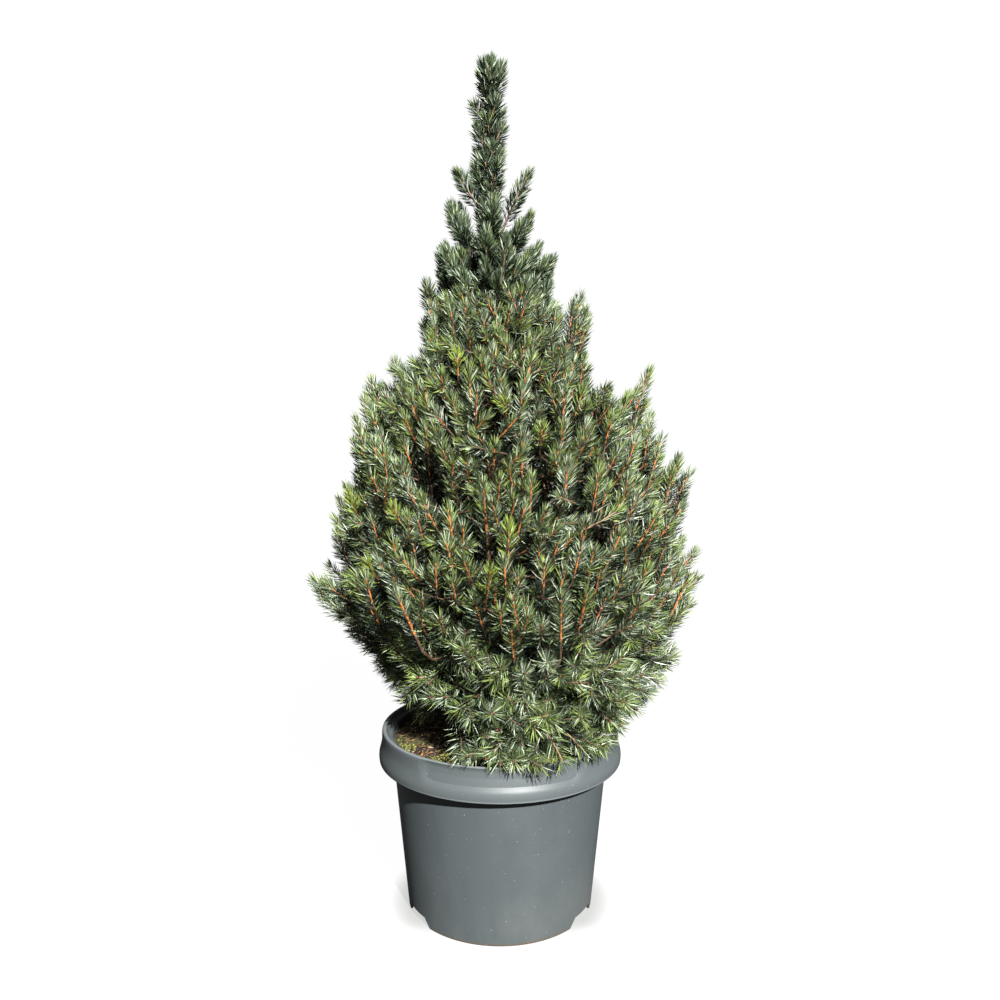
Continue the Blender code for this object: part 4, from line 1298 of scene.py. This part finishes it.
def potProfile():
    # the section from the middle of the underside, out and up, and back down the inside
    top, lip = pot["height"], pot["lipHeight"]
    ledge = top - pot["ledgeDrop"]
    wall, floor = pot["wall"], pot["floorHeight"]
    radius = pot["collarRadius"]
    footWall = wallRadius(0)
    outerFoot, wallTop = (footWall, 0.0008), (wallRadius(ledge - wall), ledge - wall)
    profile = [
        (0.0, 0.0),
        (pot["footPad"], 0.0),
        (pot["footPad"] + 0.004, floor - wall),
        (footWall - 2 * wall, floor - wall),
        (footWall - wall, 0.0),
        (footWall - 0.0008, 0.0),
        outerFoot,
        *even(outerFoot, wallTop, 24),
        wallTop,
        (radius - 0.0068, top - 0.0042),
        (radius - 0.0024, lip + 0.012),
        (radius - 0.0022, lip + 0.0004),
        *arc((radius - 0.0011, lip + 0.0010), 0.0011, 200, 350, 5),
    ]
    # the collar's outer face, from its radius and its lip
    face = ((3, 35), (4, 60), (1, 90), (-7, 120), (-13, 145), (-19, 170), (-24, 195), (-28, 225))
    profile += [(radius + out / 10000, lip + up / 10000) for out, up in face]
    return [
        *profile,
        (radius - 0.0030, top - 0.0060),
        (radius - 0.0030, top - 0.0040),
        *arc((radius - 0.0056, top - 0.0024), 0.0024, 10, 170, 8),
        (wallRadius(ledge) + 0.0020, ledge + 0.0016),
        (wallRadius(ledge) - 0.0004, ledge + 0.0010),
        (wallRadius(ledge) - wall, ledge - 0.0006),
        (wallRadius(soil["edgeHeight"]) - wall, soil["edgeHeight"]),
        (wallRadius(floor) - wall, floor),
        (pot["footPad"] + 0.006, floor),
        (pot["footPad"] - 0.001, wall),
        (0.0, wall),
    ]


def pressField(bm):
    # the front of the collar is set back behind a smooth step, where a label would go
    for vert in bm.verts:
        radius = math.hypot(vert.co.x, vert.co.y)
        outside = radius >= pot["collarRadius"] - collar["faceFrom"]
        if outside and vert.co.z >= pot["lipHeight"] + collar["faceAbove"]:
            azimuth = math.atan2(vert.co.y, vert.co.x)
            away = math.degrees(azimuthGap(azimuth, math.radians(collar["fieldCentre"])))
            inside = collar["fieldHalfWidth"] - away
            corner = 1 - smooth(inside / collar["fieldCorner"])
            foot = collar["fieldFoot"] + collar["fieldCornerRise"] * corner**2
            share = smooth(inside / collar["fieldEdge"]) * smooth((vert.co.z - foot) / collar["fieldStep"])
            fade = smooth((pot["height"] - vert.co.z) / collar["fieldStep"])
            scale = 1 - share * fade * collar["fieldDepth"] / radius
            vert.co.x *= scale
            vert.co.y *= scale


def notchCutter(degrees):
    # a wedge of the foot, whose ends curve down to the floor
    bm = bmesh.new()
    loops = []
    for radius in (pot["footPad"] + notches["past"], pot["baseRadius"] + notches["past"]):
        low, high = [], []
        for step in range(notches["steps"] + 1):
            away = -1 + 2 * step / notches["steps"]
            rise = smooth((1 - abs(away)) * notches["halfWidth"] / notches["corner"])
            height = notches["height"] * (notches["endShare"] + (1 - notches["endShare"]) * rise)
            way = outward(math.radians(degrees + away * notches["halfWidth"])) * radius
            low.append(bm.verts.new(way - zAxis * notches["past"]))
            high.append(bm.verts.new(way + zAxis * height))
        ring = low + high[::-1]
        loops.append([bm.edges.new(pair) for pair in pairwise([*ring, ring[0]])])
    bmesh.ops.bridge_loops(bm, edges=loops[0] + loops[1])
    for loop in loops:
        bmesh.ops.contextual_create(bm, geom=loop)
    bmesh.ops.recalc_face_normals(bm, faces=bm.faces)
    return addObject("notchCutter", meshOf(bm, "notchCutter"))


def potFinish():
    finish = Finish("pot_plastic", potColours["plain"], 0.4)
    runs, clouds, fine, specks, scratches = (finish.noise(*noise) for noise in potNoises.values())
    height = finish.along("Z")
    above = {name: finish.ramp(height, *ends) for name, ends in potHeights.items()}
    low = 1 - above["low"]
    # edges: painted highlights, partly wear, along the lip's lower edge and the collar's top edge
    edges = above["collar"] * (1 - above["lipWearAndHighlight"]) + above["topWearAndHighlight"]
    layers = (
        (finish.ramp(runs, 0.42, 0.66), 0.2, "shade"),
        (finish.ramp(clouds, 0.42, 0.75), 0.3, "wornAndSheen"),
        # the whole collar painted lighter: a painted sheen
        (above["collar"], 0.45, "wornAndSheen"),
        (edges, 0.6, "edge"),
        (low * finish.ramp(clouds, 0.3, 0.7), 0.14, "dust"),
        (1 - above["rim"], 0.85, "dirt"),
        (finish.ramp(specks, 0.77, 0.80), 0.7, "speck"),
    )
    finish.layered(potColours["plain"], [(factor, most, potColours[name]) for factor, most, name in layers])
    finish.set("Roughness", 0.36 + 0.14 * clouds + 0.10 * low + 0.06 * scratches)
    finish.bump(fine * 0.6 + scratches * 0.4, 0.0003, 0.35)
    return finish.material


potBody = spun(potProfile(), pot["sides"])
pressField(potBody)
potPiece = finishPiece("pot_body", meshOf(potBody, "pot_body"), [potFinish()], "pot", "pot")
cutters = [notchCutter(degrees) for degrees in notches["azimuths"]]
for cutter in cutters:
    cut = potPiece.modifiers.new("notch", "BOOLEAN")
    cut.operation = "DIFFERENCE"
    cut.object = cutter
shaped = bpy.data.meshes.new_from_object(potPiece.evaluated_get(bpy.context.evaluated_depsgraph_get()))
potPiece.modifiers.clear()
potPiece.data = smoothed(shaped, pot["sharpAngle"])
shaped.name = "pot_body"
for cutter in cutters:
    bpy.data.objects.remove(cutter)
print("pot made")

ground = {
    "rings": 44,
    "sides": 96,
    "sharpAngle": 60,
    "stem": 0.02,  # the soil is level to this radius, and calm near it
    "calm": (0.016, 0.02),  # where the lumps start, and over how far
    # how many noise cells per metre, the slice of the noise, and its height
    "lumps": (38.0, 0.4, 0.0020),
    "grains": (190.0, 7.0, 0.0011),
    "settle": 0.0004,
    # the moss's patches and their ragged edges, how much there is of them, and where it starts
    "patches": (22.0, 3.7, 1.0),
    "rags": (70.0, 1.2, 0.35),
    "mossPart": (0.12, 0.35),
    "mossFrom": (0.026, 0.02),
    "crumbs": (330.0, 5.0, (1, 1, 1), 0.7),
    "clouds": (36.0, 4.0, (1, 1, 1), 0.6),
    "colour": (0.028, 0.020, 0.013),
    "dryColour": (0.080, 0.056, 0.036),
    "mossColour": (0.085, 0.090, 0.024),
}


def groundNoise(x, y, name):
    scale, level, height = ground[name]
    return noise.noise(Vector((x * scale, y * scale, level))) * height


def mossAmount(x, y):
    # moss grows in patches away from the stem
    more, over = ground["mossPart"]
    start, width = ground["mossFrom"]
    patch = groundNoise(x, y, "patches") + groundNoise(x, y, "rags")
    return smooth((patch + more) / over) * smooth((math.hypot(x, y) - start) / width)


def groundHeight(x, y):
    radius, rim = math.hypot(x, y), wallRadius(soil["edgeHeight"])
    share = smooth(1 - (radius - ground["stem"]) / (rim - ground["stem"]))
    height = soil["edgeHeight"] + (soil["crownHeight"] - soil["edgeHeight"]) * share
    start, width = ground["calm"]
    lumps = groundNoise(x, y, "lumps") + groundNoise(x, y, "grains") - ground["settle"]
    return height + lumps * smooth((radius - start) / width)


def makeSoil():
    inset = pot["wall"] + gap
    rim = wallRadius(soil["edgeHeight"]) - inset
    profile = [
        (0.0, inset),
        (pot["footPad"] - 0.003, inset),
        (pot["footPad"] + 0.004, pot["floorHeight"] + gap),
        (wallRadius(pot["floorHeight"]) - inset, pot["floorHeight"] + gap),
    ]
    profile += [(rim * (1 - step / ground["rings"]), soil["edgeHeight"]) for step in range(ground["rings"])]
    profile.append((0.0, soil["edgeHeight"]))
    bm = spun(profile, ground["sides"])
    for vert in bm.verts:
        if vert.co.z > soil["edgeHeight"] - 1e-5:
            vert.co.z = groundHeight(vert.co.x, vert.co.y)
    return smoothed(meshOf(bm, "soil_top"), ground["sharpAngle"])


def soilFinish():
    finish = Finish("soil", ground["colour"], 0.95)
    crumbs, clouds = finish.noise(*ground["crumbs"]), finish.noise(*ground["clouds"])
    layers = (
        (finish.ramp(crumbs, 0.46, 0.66), 1.0, ground["dryColour"]),
        (finish.ramp(clouds, 0.50, 0.60), finish.ramp(crumbs, 0.35, 0.6), ground["mossColour"]),
    )
    finish.layered(ground["colour"], layers)
    finish.bump(crumbs, 0.0012, 0.9)
    return finish.material


finishPiece("soil_top", makeSoil(), [soilFinish()], "soil", "soil")

litter = {
    "seed": 11,
    "fromWall": 0.005,
    "fromStem": 0.018,
    "sizes": (0.6, 1.3),
    "lengths": (0.7, 1.3),
    "rest": 0.4,  # how high a flake's middle lies, as a share of its height
    # a bent, pointed flake
    "points": (
        (-1, 0, 0), (-0.4, 0.9, 0.3), (-0.4, -0.9, 0.3), (0.4, 0.8, 0.5), (0.4, -0.8, 0.5), (1, 0, 0.1),
        (0, 0, -0.9),
    ),
    "faces": (
        (0, 2, 1), (1, 2, 3), (2, 4, 3), (3, 4, 5), (0, 1, 6), (2, 0, 6), (1, 3, 6), (4, 2, 6), (3, 5, 6),
        (5, 4, 6),
    ),
}  # fmt: skip
# how many, how likely one stays off the moss and how much likelier on it, half its length, width and
# height, the most it leans in radians, its colours, and how they are dealt
litterKinds = {
    "bark_chips": {
        "count": 520,
        "stays": (1.0, -0.7),
        "size": (0.0042, 0.0017, 0.0008),
        "lean": 0.5,
        "roughness": 0.85,
        "colours": {
            "chip_1": (0.32, 0.14, 0.060),
            "chip_2": (0.080, 0.045, 0.026),
            "chip_3": (0.44, 0.33, 0.20),
        },
        "dealt": (0, 1, 1, 2),
    },
    "dry_needles": {
        "count": 900,
        "stays": (0.9, 0.0),
        "size": (0.0058, 0.00042, 0.0004),
        "lean": 0.35,
        "roughness": 0.7,
        "colours": {"dry_needle": (0.36, 0.24, 0.10)},
        "dealt": (),
    },
    "moss": {
        "count": 2600,
        "stays": (0.0, 1.0),
        "size": (0.0028, 0.0009, 0.0012),
        "lean": 1.2,
        "roughness": 0.9,
        "colours": {
            "moss_1": (0.150, 0.165, 0.032),
            "moss_2": (0.280, 0.255, 0.062),
            "moss_3": (0.050, 0.062, 0.018),
        },
        "dealt": (0, 0, 1, 2),
    },
}


def scatter(kind, rng):
    # places on the soil, clear of the pot's wall and of the stem
    places = []
    usual, byMoss = kind["stays"]
    rim = wallRadius(soil["edgeHeight"]) - pot["wall"] - litter["fromWall"]
    while len(places) < kind["count"]:
        radius = rim * math.sqrt(rng.uniform(0, 1))
        x, y = (outward(rng.uniform(-math.pi, math.pi)) * radius).xy
        if radius > litter["fromStem"] and rng.random() < usual + byMoss * mossAmount(x, y):
            places.append(Vector((x, y, groundHeight(x, y))))
    return places


def addLitter(name, kind, rng):
    points = []
    for place in scatter(kind, rng):
        size = Vector(kind["size"]) * rng.uniform(*litter["sizes"])
        size.x *= rng.uniform(*litter["lengths"])
        placed = Matrix.Rotation(rng.uniform(0, 2 * math.pi), 3, "Z")
        for axis in "XY":
            placed = placed @ Matrix.Rotation(rng.uniform(-kind["lean"], kind["lean"]), 3, axis)
        placed = placed @ Matrix.Diagonal(size)
        spot = place + zAxis * size.z * litter["rest"]
        points.append(np.array(litter["points"]) @ np.array(placed).T + np.array(spot))
    triangles = repeated(litter["faces"], len(points), len(litter["points"]))
    mesh = meshFromArrays(name, np.concatenate(points), triangles)
    colours = kind["colours"].items()
    materials = [Finish(paint, colour, kind["roughness"]).material for paint, colour in colours]
    finishPiece(name, mesh, materials, "soil")
    if kind["dealt"]:
        dealt = np.array([rng.choice(kind["dealt"]) for _ in points], np.int32)
        mesh.polygons.foreach_set("material_index", np.repeat(dealt, len(litter["faces"])))


litterRandom = random.Random(litter["seed"])
for name, kind in litterKinds.items():
    addLitter(name, kind, litterRandom)
print("soil and litter made")

studio = {
    "floorColour": (0.05, 0.05, 0.05),
    "floorGlow": (0.985, 0.985, 0.985),
    "contactShadowGlow": (0.62, 0.63, 0.61),
    "contactShadowRadii": (0.100, 0.130),  # radii of the painted contact shadow, between which the floor brightens
    "contactShadowFront": (-0.088, -0.050),  # and there is less of the painted shadow in front
    "floorSize": 30.0,
    "floorDrop": 0.0004,
    "skyColour": (1.0, 1.0, 1.0),
    "skyLight": 0.095,
    "skySeen": 1.02,
    "sunFrom": (0.28, -0.80, 0.58),
    "sunStrength": 9.6,
    "sunSpread": 1.5,  # degrees
    "cameraPlace": (0.0, -0.987, 0.543),
    "cameraTilt": 84.0,
    "lens": 33.77,
    "sensor": 36.0,
}


def makeStage():
    # a white floor that glows, so that the shadow on it stays faint, and glows less close round the pot, a
    # painted contact shadow
    finish = Finish("floor_paint", studio["floorColour"], 0.9)
    away = finish.add("ShaderNodeVectorMath", {"operation": "LENGTH"}, {0: finish.place()}, "Value")
    # near: the painted contact shadow round the pot's foot
    near = 1 - finish.ramp(away, *studio["contactShadowRadii"])
    near = near * finish.ramp(finish.along("Y"), *studio["contactShadowFront"])
    finish.set("Emission Color", finish.blend(near, studio["floorGlow"], studio["contactShadowGlow"]))
    finish.set("Emission Strength", 1.0)
    bm = bmesh.new()
    bmesh.ops.create_grid(bm, x_segments=1, y_segments=1, size=studio["floorSize"] / 2)
    bmesh.ops.translate(bm, verts=bm.verts, vec=-zAxis * studio["floorDrop"])
    floor = addObject("floor", meshOf(bm, "floor"))
    floor.data.materials.append(finish.material)
    floor.visible_diffuse = False
    floor.visible_glossy = False


def makeSky():
    world = bpy.data.worlds.new("studio")
    bpy.context.scene.world = world
    world.use_nodes = True
    tree = world.node_tree
    background = tree.nodes["Background"]
    background.inputs["Color"].default_value = (*studio["skyColour"], 1.0)
    path = tree.nodes.new("ShaderNodeLightPath")
    strength = tree.nodes.new("ShaderNodeMapRange")
    strength.inputs["To Min"].default_value = studio["skyLight"]
    strength.inputs["To Max"].default_value = studio["skySeen"]
    tree.links.new(path.outputs["Is Camera Ray"], strength.inputs["Value"])
    tree.links.new(strength.outputs["Result"], background.inputs["Strength"])


def makeSun():
    lamp = bpy.data.lights.new("sun", "SUN")
    lamp.energy = studio["sunStrength"]
    lamp.angle = math.radians(studio["sunSpread"])
    way = -Vector(studio["sunFrom"])
    addObject("sun", lamp).rotation_euler = way.to_track_quat("-Z", "Y").to_euler()


def makeCamera():
    lens = bpy.data.cameras.new("camera")
    lens.lens = studio["lens"]
    lens.sensor_width = studio["sensor"]
    camera = addObject("camera", lens)
    camera.location = studio["cameraPlace"]
    camera.rotation_euler = (math.radians(studio["cameraTilt"]), 0, 0)
    bpy.context.scene.camera = camera


makeStage()
makeSky()
makeSun()
makeCamera()
bpy.context.scene.view_settings.view_transform = "Standard"
print("stage, lamps and camera made")
